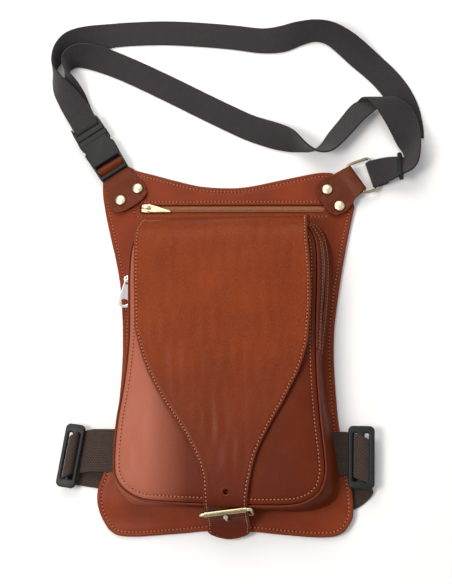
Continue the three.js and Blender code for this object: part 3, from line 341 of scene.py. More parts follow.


def leather(name, base, deep, pale, grain=1.1, streaks=0.0, gloss=0.4, darker_to_free_end=None, painted_sheen=None):
    """Waxed cowhide with cells of this grain, in mm; streaks is how much of the pull-up streaking shows.
    darker_to_free_end gives the heights, in mm along Y, between which the leather darkens towards its free
    end;
    painted_sheen the distances, in mm along X, between which a painted highlight, standing in for the left
    lamp's sheen, makes it lighter."""
    material, tree, shader = start(name, Specular_IOR_Level=0.07, Coat_Weight=0.06, Coat_Roughness=0.3)
    place = add(tree, "ShaderNodeTexCoord").node.outputs["Object"]
    wander = add(tree, "ShaderNodeTexNoise", {"Vector": place, "Scale": 420, "Detail": 2.0})
    wander = wander.node.outputs["Color"]
    bent = add(tree, "ShaderNodeVectorMath", {0: wander, 1: (0.0012, 0.0012, 0.0012)}, operation="MULTIPLY")
    bent = add(tree, "ShaderNodeVectorMath", {0: place, 1: bent}, operation="ADD")
    cell = add(tree, "ShaderNodeTexVoronoi", {"Vector": bent, "Scale": 1 / (grain * MM)},
               feature="DISTANCE_TO_EDGE")
    furrow = add(tree, "ShaderNodeMapRange", {"Value": cell, "From Min": 0.0, "From Max": 0.22})
    pores = add(tree, "ShaderNodeTexNoise", {"Vector": place, "Scale": 1 / (0.45 * MM), "Detail": 3.0})
    clouds = add(tree, "ShaderNodeTexNoise", {"Vector": place, "Scale": 1 / (38 * MM), "Detail": 4.0,
                                              "Roughness": 0.6})
    long_way = add(tree, "ShaderNodeMapping", {"Vector": place,
                                               "Scale": (1 / (0.9 * MM), 1 / (1.8 * MM), 60)})
    streak = add(tree, "ShaderNodeTexNoise", {"Vector": long_way, "Scale": 1.0, "Detail": 4.0,
                                              "Distortion": 0.6})
    streak = add(tree, "ShaderNodeMapRange", {"Value": streak, "From Min": 0.38, "From Max": 0.66})
    tone = add(tree, "ShaderNodeMapRange", {"Value": clouds, "From Min": 0.3, "From Max": 0.7})
    dyed = blend(tree, tone, linear(deep), linear(base))
    dyed = blend(tree, maths(tree, "MULTIPLY", streak, streaks), dyed, linear(pale))
    worn = maths(tree, "MULTIPLY", maths(tree, "SUBTRACT", 1.0, furrow), 0.35)
    dyed = blend(tree, worn, dyed, linear(deep))
    across, up_bag = add(tree, "ShaderNodeSeparateXYZ", {"Vector": place}).node.outputs[:2]
    # painted highlight: between these x the leather is mixed towards a pale pink, in place of the sheen of
    # the lamp at the left
    if painted_sheen:
        paler = add(tree, "ShaderNodeMapRange", {"Value": across, "From Min": painted_sheen[0] * MM,
                                                 "From Max": painted_sheen[1] * MM, "To Max": 0.8})
        dyed = blend(tree, paler, dyed, linear(SHEEN_PAINT))
    # between these heights the leather is mixed towards a darker brown, down to its free end
    if darker_to_free_end:
        darker = add(tree, "ShaderNodeMapRange", {"Value": up_bag, "From Min": darker_to_free_end[0] * MM,
                                                  "From Max": darker_to_free_end[1] * MM, "To Max": 0.82})
        dyed = blend(tree, darker, dyed, linear(FREE_END_DARK))
    rim = add(tree, "ShaderNodeAttribute", attribute_name="rim").node.outputs["Fac"]
    rim = add(tree, "ShaderNodeMapRange", {"Value": rim, "From Min": 0.15, "From Max": 0.6})
    dyed = blend(tree, rim, dyed, linear(CUT_EDGE))
    tree.links.new(dyed, shader.inputs["Base Color"])
    rough = add(tree, "ShaderNodeMapRange", {"Value": pores, "From Min": 0.3, "From Max": 0.7,
                                             "To Min": gloss - 0.07, "To Max": gloss + 0.1})
    tree.links.new(rough, shader.inputs["Roughness"])
    height = maths(tree, "MULTIPLY_ADD", streak, streaks * 0.25)
    tree.links.new(maths(tree, "MULTIPLY", pores, 0.35), height.node.inputs[2])
    height = maths(tree, "ADD", height, furrow)
    bump = add(tree, "ShaderNodeBump", {"Height": height, "Strength": 0.5, "Distance": 0.2 * MM})
    tree.links.new(bump, shader.inputs["Normal"])
    return material


PANEL_LEATHER = leather("waxed_cowhide_panel", "#702b0e", "#5a1f07", "#99502e")
# the pocket is painted lighter towards its left side: a painted highlight in place of the left lamp's sheen
POCKET_LEATHER = leather("waxed_cowhide_pocket", "#531c03", "#461502", "#8a3f1a",
                         painted_sheen=(-28, -66))
# the flap's colour grows darker towards its free end
FLAP_LEATHER = leather("pulled_up_cowhide_flap", "#682602", "#571c01", "#98521e", grain=1.0,
                        streaks=0.17, darker_to_free_end=(15, -125))
LUG_LEATHER = leather("waxed_cowhide_lug", "#57230b", "#421703", "#7c4027", gloss=0.28)
print("leathers:", [m.name for m in bpy.data.materials if "cowhide" in m.name])

# %% [markdown]
# Woven webbing
#
# Polyester webbing is a thick plain weave. The warp runs along the strap in cords a little over a
# millimetre apart, and each passes over and under the weft, out of step with its neighbour. Seen from a
# metre away this is a field of dots, so the pattern is worked out from the strap's own UV map, which holds
# millimetres across and along: a rounded cord across, times a wave along that starts half a step later in
# every second cord. The thread is matt and slightly hairy, which is a little sheen.

# %% Webbing
def webbing(name, valley, crown, cord, pick):
    """Plain-woven polyester: cord is the spacing of the warp across and pick the length of one float, mm."""
    material, tree, shader = start(name, Roughness=0.82, Specular_IOR_Level=0.3, Sheen_Weight=0.1,
                                   Sheen_Roughness=0.5)
    uv = add(tree, "ShaderNodeUVMap", uv_map="along")
    parts = add(tree, "ShaderNodeSeparateXYZ", {"Vector": uv}).node.outputs
    across = maths(tree, "DIVIDE", parts[0], cord * MM)
    cord_number = maths(tree, "FLOOR", across)
    shape = maths(tree, "ABSOLUTE", maths(tree, "SINE", maths(tree, "MULTIPLY", across, math.pi)))
    step = maths(tree, "MULTIPLY", cord_number, 0.5)
    float_at = maths(tree, "ADD", maths(tree, "DIVIDE", parts[1], 2 * pick * MM), step)
    over = maths(tree, "COSINE", maths(tree, "MULTIPLY", float_at, 2 * math.pi))
    over = add(tree, "ShaderNodeMapRange", {"Value": over, "From Min": -1.0, "From Max": 1.0,
                                            "To Min": 0.25, "To Max": 1.0})
    height = maths(tree, "MULTIPLY", shape, over)
    fuzz = add(tree, "ShaderNodeTexNoise", {"Vector": uv, "Scale": 1 / (6 * MM), "Detail": 5.0})
    share = maths(tree, "MULTIPLY", height, maths(tree, "ADD", fuzz, 0.4))
    tree.links.new(blend(tree, share, linear(valley), linear(crown)), shader.inputs["Base Color"])
    bump = add(tree, "ShaderNodeBump", {"Height": height, "Strength": 0.9, "Distance": 0.35 * MM})
    tree.links.new(bump, shader.inputs["Normal"])
    return material


WAIST_WEB = webbing("woven_polyester_25_mm", "#0c090b", "#2e272d", cord=1.0, pick=0.9)
LEG_WEB = webbing("woven_polyester_38_mm", "#0d0806", "#43312a", cord=1.55, pick=1.25)
print("webbing cords 1.0 and 1.55 mm apart")

# %% [markdown]
# Plastic, metal, thread and zip
#
# The buckle and adjusters are moulded acetal: nearly black, satin, with the faint orange peel of a
# spark-eroded mould. The buckles and rivets are steel with a pale brass plating that is rubbed in places,
# and the pocket's puller is bright nickel. Thread is bonded polyester. A zip's tape is a fine twill, and
# its coil is smooth nylon.

# %% Hard materials
def mottled(name, low, high, size, rough, bump_size, bump_depth, **shader_values):
    """A finish whose colour and roughness drift over patches of this size, with a fine unevenness, in mm."""
    material, tree, shader = start(name, **shader_values)
    place = add(tree, "ShaderNodeTexCoord").node.outputs["Object"]
    drift = add(tree, "ShaderNodeTexNoise", {"Vector": place, "Scale": 1 / (size * MM), "Detail": 3.0})
    tree.links.new(blend(tree, drift, linear(low), linear(high)), shader.inputs["Base Color"])
    spread = add(tree, "ShaderNodeMapRange", {"Value": drift, "From Min": 0.3, "From Max": 0.7,
                                              "To Min": rough - 0.06, "To Max": rough + 0.08})
    tree.links.new(spread, shader.inputs["Roughness"])
    fine = add(tree, "ShaderNodeTexNoise", {"Vector": place, "Scale": 1 / (bump_size * MM), "Detail": 2.0})
    bump = add(tree, "ShaderNodeBump", {"Height": fine, "Strength": 0.4, "Distance": bump_depth * MM})
    tree.links.new(bump, shader.inputs["Normal"])
    return material


ACETAL = mottled("moulded_acetal", "#0a0d0e", "#14181a", 9, 0.5, 0.35, 0.05, Specular_IOR_Level=0.2)
RING_BRASS = mottled("aged_brass_plating", "#7f755c", "#a1967a", 5, 0.24, 1.2, 0.003, Metallic=1.0)
BRASS = mottled("pale_brass_plating", "#b0a587", "#cdc2a6", 5, 0.34, 1.2, 0.004, Metallic=1.0)
NICKEL = mottled("bright_nickel_plating", "#e4e7e9", "#f4f6f7", 5, 0.34, 0.5, 0.01, Metallic=1.0)
THREAD = mottled("bonded_polyester_thread", "#733c21", "#9d5f3a", 3, 0.55, 0.25, 0.1, Sheen_Weight=0.2)
# near-black discs at the needle holes: painted shade in place of the shadow inside each hole
HOLE_SHADE = mottled("painted_hole_shade", "#160703", "#241008", 3, 0.9, 0.3, 0.02, Specular_IOR_Level=0.1)
ZIP_TAPE = mottled("twill_zip_tape", "#633720", "#835030", 2, 0.85, 0.3, 0.12, Specular_IOR_Level=0.2)
ZIP_COIL = mottled("nylon_zip_coil", "#6b3f27", "#94613f", 3, 0.4, 0.3, 0.03, Specular_IOR_Level=0.5)
print("materials:", len(bpy.data.materials))

# %% [markdown]
# How far a point is from an edge
#
# A seam keeps its distance from the edge of the leather, round corners too. So the edge of each sheet is
# taken as a closed line of points close together, and the distance of every grid point from it is found by
# comparing with all of them. The line of a seam is the same edge moved inwards.

# %% Edges and insets
def distance_to(outline, x, y):
    """How far each point of a grid lies from the nearest point of an outline, one grid line at a time."""
    return np.array([np.hypot(a[:, None] - outline[:, 0], b[:, None] - outline[:, 1]).min(-1)
                     for a, b in zip(x, y)])


def border(x, y):
    """The edge of a flat grid as a closed line of points a quarter of a millimetre apart, anticlockwise."""
    plan = np.stack([x, y], -1)
    loop = np.concatenate([plan[:-1, 0], plan[-1, :-1], plan[:0:-1, -1], plan[0, ::-1]])
    if np.sum(loop[:-1, 0] * loop[1:, 1] - loop[1:, 0] * loop[:-1, 1]) < 0:
        loop = loop[::-1]
    length = path_length(loop)
    at = np.arange(0, length[-1], 0.25)
    return np.stack([np.interp(at, length, loop[:, 0]), np.interp(at, length, loop[:, 1])], -1)


def sheet_distance(x, y):
    """The distance of a flat grid's points from its edge, exactly 0 on it."""
    measured = np.minimum(distance_to(border(x, y), x, y), edge_distance(np.dstack([x, y, 0 * x])))
    measured[[0, -1]] = 0
    measured[:, [0, -1]] = 0
    return measured


def inset(outline, by):
    """A closed line moved inwards; the points that end up nearer to the line than that are left out."""
    ahead = unit(np.roll(outline, -6, 0) - np.roll(outline, 6, 0))
    moved = outline + by * np.stack([-ahead[:, 1], ahead[:, 0]], -1)
    return moved[distance_to(outline, moved[None, :, 0], moved[None, :, 1])[0] > by - 0.05]


def settle(path, sheet, up):
    """Drops a plan line onto a sheet: each point takes its height from the tangent plane at the nearest grid
    point. Returns the points and the normals there."""
    points, normals = sheet.reshape(-1, 3), up.reshape(-1, 3)
    blocks = np.array_split(path, len(path) // 50 + 1)
    nearest = np.concatenate([np.argmin(np.hypot(b[:, :1] - points[:, 0], b[:, 1:2] - points[:, 1]), -1)
                              for b in blocks])
    p, n = points[nearest], normals[nearest]
    height = p[:, 2] - ((path[:, :2] - p[:, :2]) * n[:, :2]).sum(-1) / n[:, 2]
    return np.column_stack([path[:, :2], height]), n


# %% [markdown]
# The heights of the layers
#
# From below: the back panel, the face panel, the pocket's own back, and the pocket. The leg strap runs
# between the table and the back panel, a little slanted, and lifts both panels there; in front it runs
# between the face panel and the pocket, which arches over it. Each layer's height is worked out from the
# one below, with the same few sizes as the solids.

# %% Layers
GAP = 0.35
BACK_T, FACE_T, POCKET_T, BASE_T, FLAP_T, LUG_T = 2.0, 2.2, 1.8, 1.4, 2.2, 1.8
WAIST_T, LEG_W, LEG_T = 1.9, 38, 2.2
RIM_Z, DOME = 37, 5.5


def back_run(x):
    return -110.9 - 0.092 * x


def front_run(x):
    return -86.6 - 0.01 * x


def lift(x, y):
    """How far the strap behind the bag lifts the panels."""
    return 2.55 * plateau(np.abs(y - back_run(x)), 21.5, 52)


def face_top(x, y):
    """The upper face of the front panel: it bellies a little over the flat pocket behind it."""
    belly = np.clip(1 - (x / 99) ** 2, 0, None) * np.clip(1 - ((y - 5) / 168) ** 2, 0, None)
    return lift(x, y) + BACK_T + GAP + FACE_T + 1.2 * belly


def base_top(x, y):
    """The upper face of the pocket's back, which arches over the strap in front of the panel."""
    tunnel = (LEG_T + 0.6) * plateau(np.abs(y - front_run(x)), 22.5, 44)
    return face_top(x, y) + tunnel + GAP + BASE_T


print("face panel's top at the middle, mm:", round(float(face_top(np.array(0.0), np.array(0.0))), 2))

# %% [markdown]
# The two panels
#
# Both panels are the same hourglass. Its two long edges and its top and bottom are four smooth curves, and
# a Coons patch fills them, so the grid lines follow the edge all the way round, as the stitches do. The
# front panel has a slot for its zip. Its grid lines are moved so that two of them run along the slot.

# %% Hourglass outline
PANEL_SIDES = np.array([  # y, left, right
    (-154, -105, 105), (-143, -111.5, 111.5), (-130, -115, 112.2), (-116, -114, 111), (-107, -110.5, 109.3),
    (-85, -105.5, 104.5), (-64, -101, 100.5), (-36, -98, 98), (-5, -96.5, 96.5), (22, -97, 97),
    (44, -98.5, 99.5), (68, -101, 103), (92, -106, 107), (115, -112, 111.5), (138, -117.5, 116.5)])
PANEL_TOP = np.array([  # x, y
    (-121, 168), (-97, 182), (-89, 178.5), (-70, 173), (-52, 167.5), (-27, 161), (0, 158.5), (20, 159.5),
    (47, 164.5), (77, 170), (90, 171), (98, 169), (110, 156)])
PANEL_BOTTOM = np.array([  # x, y
    (-96, -160), (-80, -161), (-65, -160), (-36, -157.5), (-15, -155.5), (22, -155.5), (54, -158),
    (80, -159.5), (96, -158.5)])
left_side = np.vstack([PANEL_SIDES[:, [1, 0]], (-120.5, 155), PANEL_TOP[0]])
right_side = PANEL_SIDES[:, [2, 0]]
top_side = np.vstack([PANEL_TOP, right_side[-1]])
bottom_side = np.vstack([left_side[0], PANEL_BOTTOM, right_side[0]])


def panel(u, v):
    """The place on the panel at these shares of its width and height, from its four edges."""
    sides = (bottom_side, top_side, left_side, right_side)
    return patch(*[lambda share, side=side: along(side, share) for side in sides], u, v)


TOP_ZIP = {"left": -86, "right": 91, "y": 138, "slope": -0.025, "slot": 7.2}


def top_zip_y(x):
    return TOP_ZIP["y"] + TOP_ZIP["slope"] * x


print("panel width at the waist, mm:", float(np.ptp(PANEL_SIDES[8, 1:])))

# %% Back panel
PANEL_STEP = 2.6  # mm between grid lines in the middle of a panel
PANEL_WIDE, PANEL_TALL = 212, 325  # mm, roughly, to space the grid lines
U, V = np.meshgrid(lines(PANEL_WIDE, PANEL_STEP), lines(PANEL_TALL, PANEL_STEP), indexing="ij")
x, y = np.moveaxis(panel(U, V), -1, 0)
mid = np.dstack([x, y, lift(x, y) + BACK_T / 2])
shell("back_leather", mid, BACK_T, PANEL_LEATHER, distance=sheet_distance(x, y), replaces="back_panel",
      slot="leather")

# %% Face panel with its zip slot
SLOT_LINES = np.array([0, 0.1, 0.35, 0.8, 1.5, 2.4, 3.4, 4.2, 5.2])  # mm out from the slot's edge
SLOT_SEWN = 3.4  # mm from the slot's edge to its stitches
half_slot = TOP_ZIP["slot"] / 2


def split_lines(shares, start, end, near):
    """Grid lines with two of them at start and end, close ones outside them and the rest as they were."""
    outside = shares[(shares < start - near[-1] * 1.3) | (shares > end + near[-1] * 1.3)]
    both = np.concatenate([outside, start - near, end + near, np.linspace(start, end, 4)[1:-1]])
    return np.unique(np.round(both, 6))


# where the slot's ends fall across the panel, and its two long edges up it, column by column
fine_u, fine_v = np.linspace(0, 1, 801), np.linspace(0, 1, 1201)
across = panel(fine_u, np.full(801, 0.94))[:, 0]
u_from, u_to = np.interp([TOP_ZIP["left"], TOP_ZIP["right"]], across, fine_u)
u_lines = split_lines(lines(PANEL_WIDE, PANEL_STEP), u_from, u_to, SLOT_LINES / PANEL_WIDE)
beside_slot = np.arange(u_from + 0.012, u_to - 0.012, PANEL_STEP / PANEL_WIDE)
u_lines = np.unique(np.concatenate([u_lines, beside_slot]))
column_points = panel(*np.meshgrid(u_lines, fine_v, indexing="ij"))
offset = column_points[..., 1] - top_zip_y(column_points[..., 0])
v_low, v_high = [np.array([np.interp(side, row[600:], fine_v[600:]) for row in offset])
                 for side in (-half_slot, half_slot)]
middle_low, middle_high = float(np.median(v_low)), float(np.median(v_high))
v_lines = split_lines(lines(PANEL_TALL, PANEL_STEP), middle_low, middle_high, SLOT_LINES / PANEL_TALL)
k_low, k_high = [int(np.argmin(abs(v_lines - v))) for v in (middle_low, middle_high)]
i_from, i_to = [int(np.argmin(abs(u_lines - u))) for u in (u_from, u_to)]
V = np.array([np.interp(v_lines, [0, 0.7, middle_low, middle_high, 1], [0, 0.7, low, high, 1])
              for low, high in zip(v_low, v_high)])
x, y = np.moveaxis(panel(np.repeat(u_lines[:, None], len(v_lines), 1), V), -1, 0)
outline_distance = sheet_distance(x, y)
beyond_ends = np.maximum(np.maximum(x[i_from] - x, x - x[i_to]), 0)
beyond_sides = np.maximum(np.maximum(y[:, [k_low]] - y, y - y[:, [k_high]]), 0)
slot_distance = np.hypot(beyond_ends, beyond_sides)
in_slot = np.zeros(x.shape, bool)
in_slot[i_from : i_to + 1, k_low : k_high + 1] = True
slot_distance[in_slot] = 0
hole = in_slot[:-1, :-1] & in_slot[1:, 1:] & in_slot[:-1, 1:] & in_slot[1:, :-1]
distance = np.minimum(outline_distance, slot_distance)

near_seam = groove(outline_distance) + groove(slot_distance, inset=SLOT_SEWN, deep=0.28)
slack = 0.35 * uneven(x, y, 70, 3) * np.clip(distance / 25, 0, 1)
by_pocket = 0.5 * hill(y, 127, 5) * plateau(np.abs(x), 70, 92)
face_outline = border(x, y)
FACE_MID = np.dstack([x, y, face_top(x, y) - FACE_T / 2])
face_upper = shell("face_leather", FACE_MID, FACE_T, PANEL_LEATHER, relief=near_seam + slack + by_pocket,
                   hole=hole, distance=distance, replaces="face_panel", slot="leather")[1]
face_up = face_normals(face_upper)

# %% [markdown]
# Stitches
#
# A lock stitch shows as a short bridge of thread between two needle holes, lying in a furrow. Some eleven
# hundred of them are the same few faces, so one is made as arrays and copied along each seam by arithmetic:
# every stitch has its own place, direction and height from the surface that it is sewn into. The holes are
# painted shade: a flat dark disc at each end of a thread, made the same way, stands for the shade in it.

# %% Stitch tools
STITCH, THREAD_R, HOLE_R = 3.3, 0.5, 0.78  # mm: pitch, half the thread's thickness, the needle hole's painted shade disc
around, length = np.meshgrid(np.linspace(0, 2 * np.pi, 7)[:-1], np.linspace(-1, 1, 6), indexing="ij")
swell = np.sqrt(np.clip(1 - np.abs(length) ** 3.5, 0, 1))
STITCH_SHAPE = np.stack([length * 1.08, THREAD_R * swell * np.cos(around),
                         THREAD_R * swell * np.sin(around) + 0.22 * (1 - length**2) - 0.1], -1)
STITCH_FACES = cells(np.arange(36).reshape(6, 6), ring=True)
ring_angle = np.linspace(0, 2 * np.pi, 9)[:-1]
# a flat disc, flush with the leather, painted dark as the shade in a needle hole
SHADE_DISC = np.concatenate([
    np.stack([HOLE_R * np.cos(ring_angle), HOLE_R * np.sin(ring_angle), 0 * ring_angle - 0.1], -1),
    np.stack([0.66 * np.cos(ring_angle), 0.66 * np.sin(ring_angle), 0 * ring_angle + 0.12], -1)])
SHADE_DISC_FACES = np.concatenate([cells(np.arange(16).reshape(2, 8).T, ring=True),
                            [[8, 9, 10, 11], [8, 11, 12, 15], [12, 13, 14, 15],
                             [3, 2, 1, 0], [7, 4, 3, 0], [7, 6, 5, 4]]])


def evenly(path, pitch, share=0.5, closed=False):
    """Places spaced evenly along a path of rows: index positions that curve() can read."""
    ends = np.vstack([path, path[:1]]) if closed else path
    length = path_length(ends[:, :3])
    count = max(2, round(length[-1] / pitch))
    return np.interp((np.arange(count) + share) * length[-1] / count, length, np.arange(len(length)))


def copies(shape, faces, at, forward, up):
    """A small shape repeated at points, its x along forward and its z along up: points and faces."""
    up = unit(up)
    forward = unit(forward - up * (forward * up).sum(-1, keepdims=True))
    basis = np.stack([forward, np.cross(up, forward), up], -2)
    points = at[:, None] + np.einsum("pk,nkc->npc", shape.reshape(-1, 3), basis)
    numbers = faces[None] + (np.arange(len(at)) * points.shape[1])[:, None, None]
    return points.reshape(-1, 3), numbers.reshape(-1, faces.shape[1])


def sew(name, path, up, closed=False, pitch=STITCH, lean=0.1):
    """Thread along a path on a surface with these normals, and a disc of painted shade at each needle hole.
    """
    rows = np.hstack([path, up])
    spots, gaps = [curve(rows, evenly(path, pitch, s, closed), closed) for s in (0.5, 0.0)]
    ahead = unit(curve(rows, evenly(path, pitch, 0.55, closed), closed)[:, :3] - spots[:, :3])
    normal = unit(spots[:, 3:])
    ahead = ahead + lean * np.cross(normal, ahead)
    points, faces = copies(STITCH_SHAPE, STITCH_FACES, spots[:, :3] + normal * 0.12, ahead, normal)
    put(name, points, faces, THREAD)
    # a disc of painted shade at each needle hole, between the threads
    points, faces = copies(SHADE_DISC, SHADE_DISC_FACES, gaps[:, :3], np.roll(ahead, 1, 0), gaps[:, 3:])
    put(name.replace("stitches", "painted_hole_shades"), points, faces, HOLE_SHADE)


# %% Panel stitches
sew("stitches_panel_edge", *settle(inset(face_outline, SEWN)[::6], face_upper, face_up), closed=True)
x = np.linspace(TOP_ZIP["left"] - 1.5, TOP_ZIP["right"] + 1, 90)
for name, side in (("stitches_zip_upper", 1), ("stitches_zip_lower", -1)):
    path = np.column_stack([x, top_zip_y(x) + side * (half_slot + SLOT_SEWN)])
    sew(name, *settle(path, face_upper, face_up))
across_end = np.linspace(-half_slot - 1, half_slot + 1, 8)
for name, x in (("stitches_zip_left", TOP_ZIP["left"] - SLOT_SEWN),
                ("stitches_zip_right", TOP_ZIP["right"] + SLOT_SEWN)):
    path = np.column_stack([np.full(8, x), top_zip_y(x) + across_end])
    sew(name, *settle(path, face_upper, face_up))

# %% [markdown]
# The box pocket's wall
#
# The wall is one strip sewn round the pocket. It stands between two seams: where it meets the panel, and
# where it meets the pocket's front, and it leans inwards and bellies between them. Its upper edge is
# turned out under the front and sewn to it, which leaves a soft roll with a shadow line below it. The zip
# runs over the top and down both sides between two narrower strips. The seam table goes clockwise from the
# top, and a place on the wall is a row of it and a share of the height.

# %% Pocket seams and wall
SEAM = np.array([  # x and y at the panel, x and y at the front
    (0, 122.5, 0, 113.5), (45, 122.5, 42, 113.5), (70, 122, 64, 112.5), (83, 117, 75, 108),
    (91, 105, 80.5, 97), (94.5, 85, 82, 78), (93, 58, 81.5, 52), (90, 30, 80.5, 26), (87, 0, 80.5, -2),
    (88, -28, 81.5, -30), (92, -62, 84, -62), (97, -95, 87.5, -94), (98, -113, 87.5, -108),
    (94.5, -126, 83, -120), (84, -133, 73, -127.5), (66, -136, 58, -131), (25, -135, 24, -131.5),
    (-17, -133.5, -14, -130.5), (-60, -132.5, -52, -129), (-80, -131, -68, -127), (-88, -125, -80, -121),
    (-95, -115, -88.5, -112), (-97.5, -100, -91.5, -98), (-95.5, -64, -90, -64), (-90.5, -25, -84.8, -27),
    (-88, 12, -82, 9), (-87.5, 48, -82.6, 45), (-88.5, 80, -83.2, 72), (-87.5, 100, -81.8, 93),
    (-83.5, 113, -77, 104), (-76.5, 120.5, -69, 111), (-62, 122.5, -55, 113.5)])
TOP_RIGHT, BOTTOM_RIGHT, BOTTOM_LEFT, TOP_LEFT = 3, 13, 20, 30  # rows of SEAM
ZIP_FROM, ZIP_TO = -6, 8  # the main zip runs over the top between these rows
ZIP_LOW, ZIP_MIDDLE, ZIP_HIGH = 0.455, 0.52, 0.585  # its lips and its middle, as shares of the wall's height
WALL_HIGH = 30  # mm, roughly, to space the grid lines and place the folds
BELLY = 1.6  # mm that the wall bulges outwards half way up


def seam(row, t):
    """A point of the straight wall: t is 0 at the panel and 1 at the front."""
    x0, y0, x1, y1 = np.moveaxis(curve(SEAM, row, closed=True), -1, 0)
    low = base_top(x0, y0) + GAP + 0.3
    return np.stack([x0 + (x1 - x0) * t, y0 + (y1 - y0) * t, low + (RIM_Z - 1.5 - low) * t], -1)


def outward(row, t):
    """The wall's outward normal, from its direction along the seam and up the wall."""
    along_seam = seam(row + 0.02, t) - seam(row - 0.02, t)
    return -unit(np.cross(along_seam, seam(row, t * 0 + 1) - seam(row, t * 0)))


def wall_point(row, t, out=0.0):
    """A point of the bellied wall, moved out by this much."""
    return seam(row, t) + outward(row, t) * np.asarray(out + BELLY * 4 * t * (1 - t))[..., None]


ROW_NUMBER = np.arange(-8, 28, 0.05)
half_way = seam(ROW_NUMBER, 0 * ROW_NUMBER + 0.5)
ROW_LENGTH = path_length(half_way)


def wall_rows(start, end, shares):
    """Rows of the seam table at shares of the length of wall between two rows."""
    from_to = np.interp([start, end], ROW_NUMBER, ROW_LENGTH)
    return np.interp(from_to[0] + shares * (from_to[1] - from_to[0]), ROW_LENGTH, ROW_NUMBER), np.ptp(from_to)


def wall_strip(name, start, end, low, high, **more):
    """A strip of the wall between two rows and two heights."""
    length = wall_rows(start, end, np.zeros(1))[1]
    rows = wall_rows(start, end, lines(length, 3.0))[0]
    heights = low + (high - low) * lines(WALL_HIGH * (high - low), 1.4, EDGE_LINES[:9])
    R, T = np.meshgrid(rows, heights, indexing="ij")
    from_top = (1 - T) * WALL_HIGH
    lip = np.clip(1 - from_top / 4.5, 0, 1) ** 1.6
    turned_out = 2.8 * lip - 0.6 * hill(from_top, 5.5, 2.2)
    foot = 1.4 * np.clip(1 - T * WALL_HIGH / 4, 0, 1) ** 2
    sag = 0.5 * uneven(R * 22, T * WALL_HIGH, 60, 11) * np.sin(np.pi * T)
    mid = wall_point(R, T, turned_out + foot + sag)
    mid[..., 2] += 1.1 * lip  # the fold rises to meet the front
    distance = edge_distance(mid)
    sewn = -0.25 * hill(distance, 2.4, 0.7) if high - low < 0.9 else 0.0
    return shell(name, mid[:, ::-1], POCKET_T, POCKET_LEATHER, relief=np.fliplr(sewn + 0 * T), **more)[1]


wall_strip("pocket_wall_plain", ZIP_TO - 0.15, len(SEAM) + ZIP_FROM + 0.15, 0, 1, replaces="pocket_gusset",
           slot="leather")
lower_wall = wall_strip("pocket_wall_below_zip", ZIP_FROM - 0.03, ZIP_TO + 0.03, 0, ZIP_LOW)
upper_wall = wall_strip("pocket_wall_above_zip", ZIP_FROM - 0.03, ZIP_TO + 0.03, ZIP_HIGH, 1)

# %% Wall stitches along the zip and at its foot
for name, strip in (("stitches_zip_below", lower_wall), ("stitches_zip_above", upper_wall)):
    k = 7 if name.endswith("below") else -8
    sew(name, strip[3:-3, k], face_normals(strip)[3:-3, k], pitch=3.0)

# %% [markdown]
# The pocket's front and back
#
# The front is a shallow dome inside its seam, filled out by what the pocket holds: nearly flat in the
# middle, with most of the curve near the edge. The leather ripples softly down the left side and has a
# shallow dent near the lower left corner, where it is handled most.

# %% Pocket front and back
def pocket_patch(columns, grow, u, v):
    """Points inside the pocket's seam, with each side of the patch measured by its length."""
    def side(start, end):
        points = curve(SEAM[:, columns], np.linspace(start, end, 161), closed=True)
        return lambda share: along(points * (1 + grow / 85, 1 + grow / 125), share)

    return patch(side(BOTTOM_LEFT, BOTTOM_RIGHT), side(TOP_LEFT, TOP_RIGHT + len(SEAM)),
                 side(BOTTOM_LEFT, TOP_LEFT), side(BOTTOM_RIGHT, TOP_RIGHT), u, v)


def rise(share):
    return 1 - np.abs(2 * share - 1) ** 7


U, V = np.meshgrid(lines(160, 2.3), lines(236, 2.3), indexing="ij")
x, y = np.moveaxis(pocket_patch([2, 3], 0.8, U, V), -1, 0)
distance = sheet_distance(x, y)
front_outline = border(x, y)
ripple = 0.55 * np.sin((x + 0.12 * y) / 5.2 + uneven(x, y, 90, 5))
ripple = ripple * hill(x, -74, 13) * plateau(np.abs(y + 20), 60, 110)
dent = 0.8 * hill(x, -74, 9) * hill(y, -88, 12) - 1.6 * hill(x, -80, 9) * hill(y, -62, 16)
slack = (0.5 * uneven(x, y, 55, 8) + ripple + dent) * np.clip((distance - 4) / 12, 0, 1)
FRONT_MID = np.dstack([x, y, RIM_Z + DOME * rise(U) * rise(V)])
front_upper = shell("pocket_front_leather", FRONT_MID, POCKET_T, POCKET_LEATHER,
                    relief=groove(distance, deep=0.4) + slack, distance=distance, replaces="pocket_front",
                    slot="leather")[1]
sew("stitches_pocket_front", *settle(inset(front_outline, SEWN)[::6], front_upper, face_normals(front_upper)),
    closed=True)

U, V = np.meshgrid(lines(180, 4), lines(250, 4), indexing="ij")
x, y = np.moveaxis(pocket_patch([0, 1], 0.5, U, V), -1, 0)
mid = np.dstack([x, y, base_top(x, y) - BASE_T / 2])
shell("pocket_back_leather", mid, BASE_T, POCKET_LEATHER, distance=sheet_distance(x, y),
      replaces="pocket_back", slot="leather")

# %% [markdown]
# Wires, turned pieces and plates
#
# Three tools make the hardware. A wire is a circle carried along a line: all the wires here lie in a
# plane, so the plane's normal and the line's direction give the circle's two axes. A turned piece is a
# profile carried round an axis. A plate is an outline with holes, thickened with a rounded arris: Blender's
# flat curves do that, and the result is made a mesh before it is put in its place.

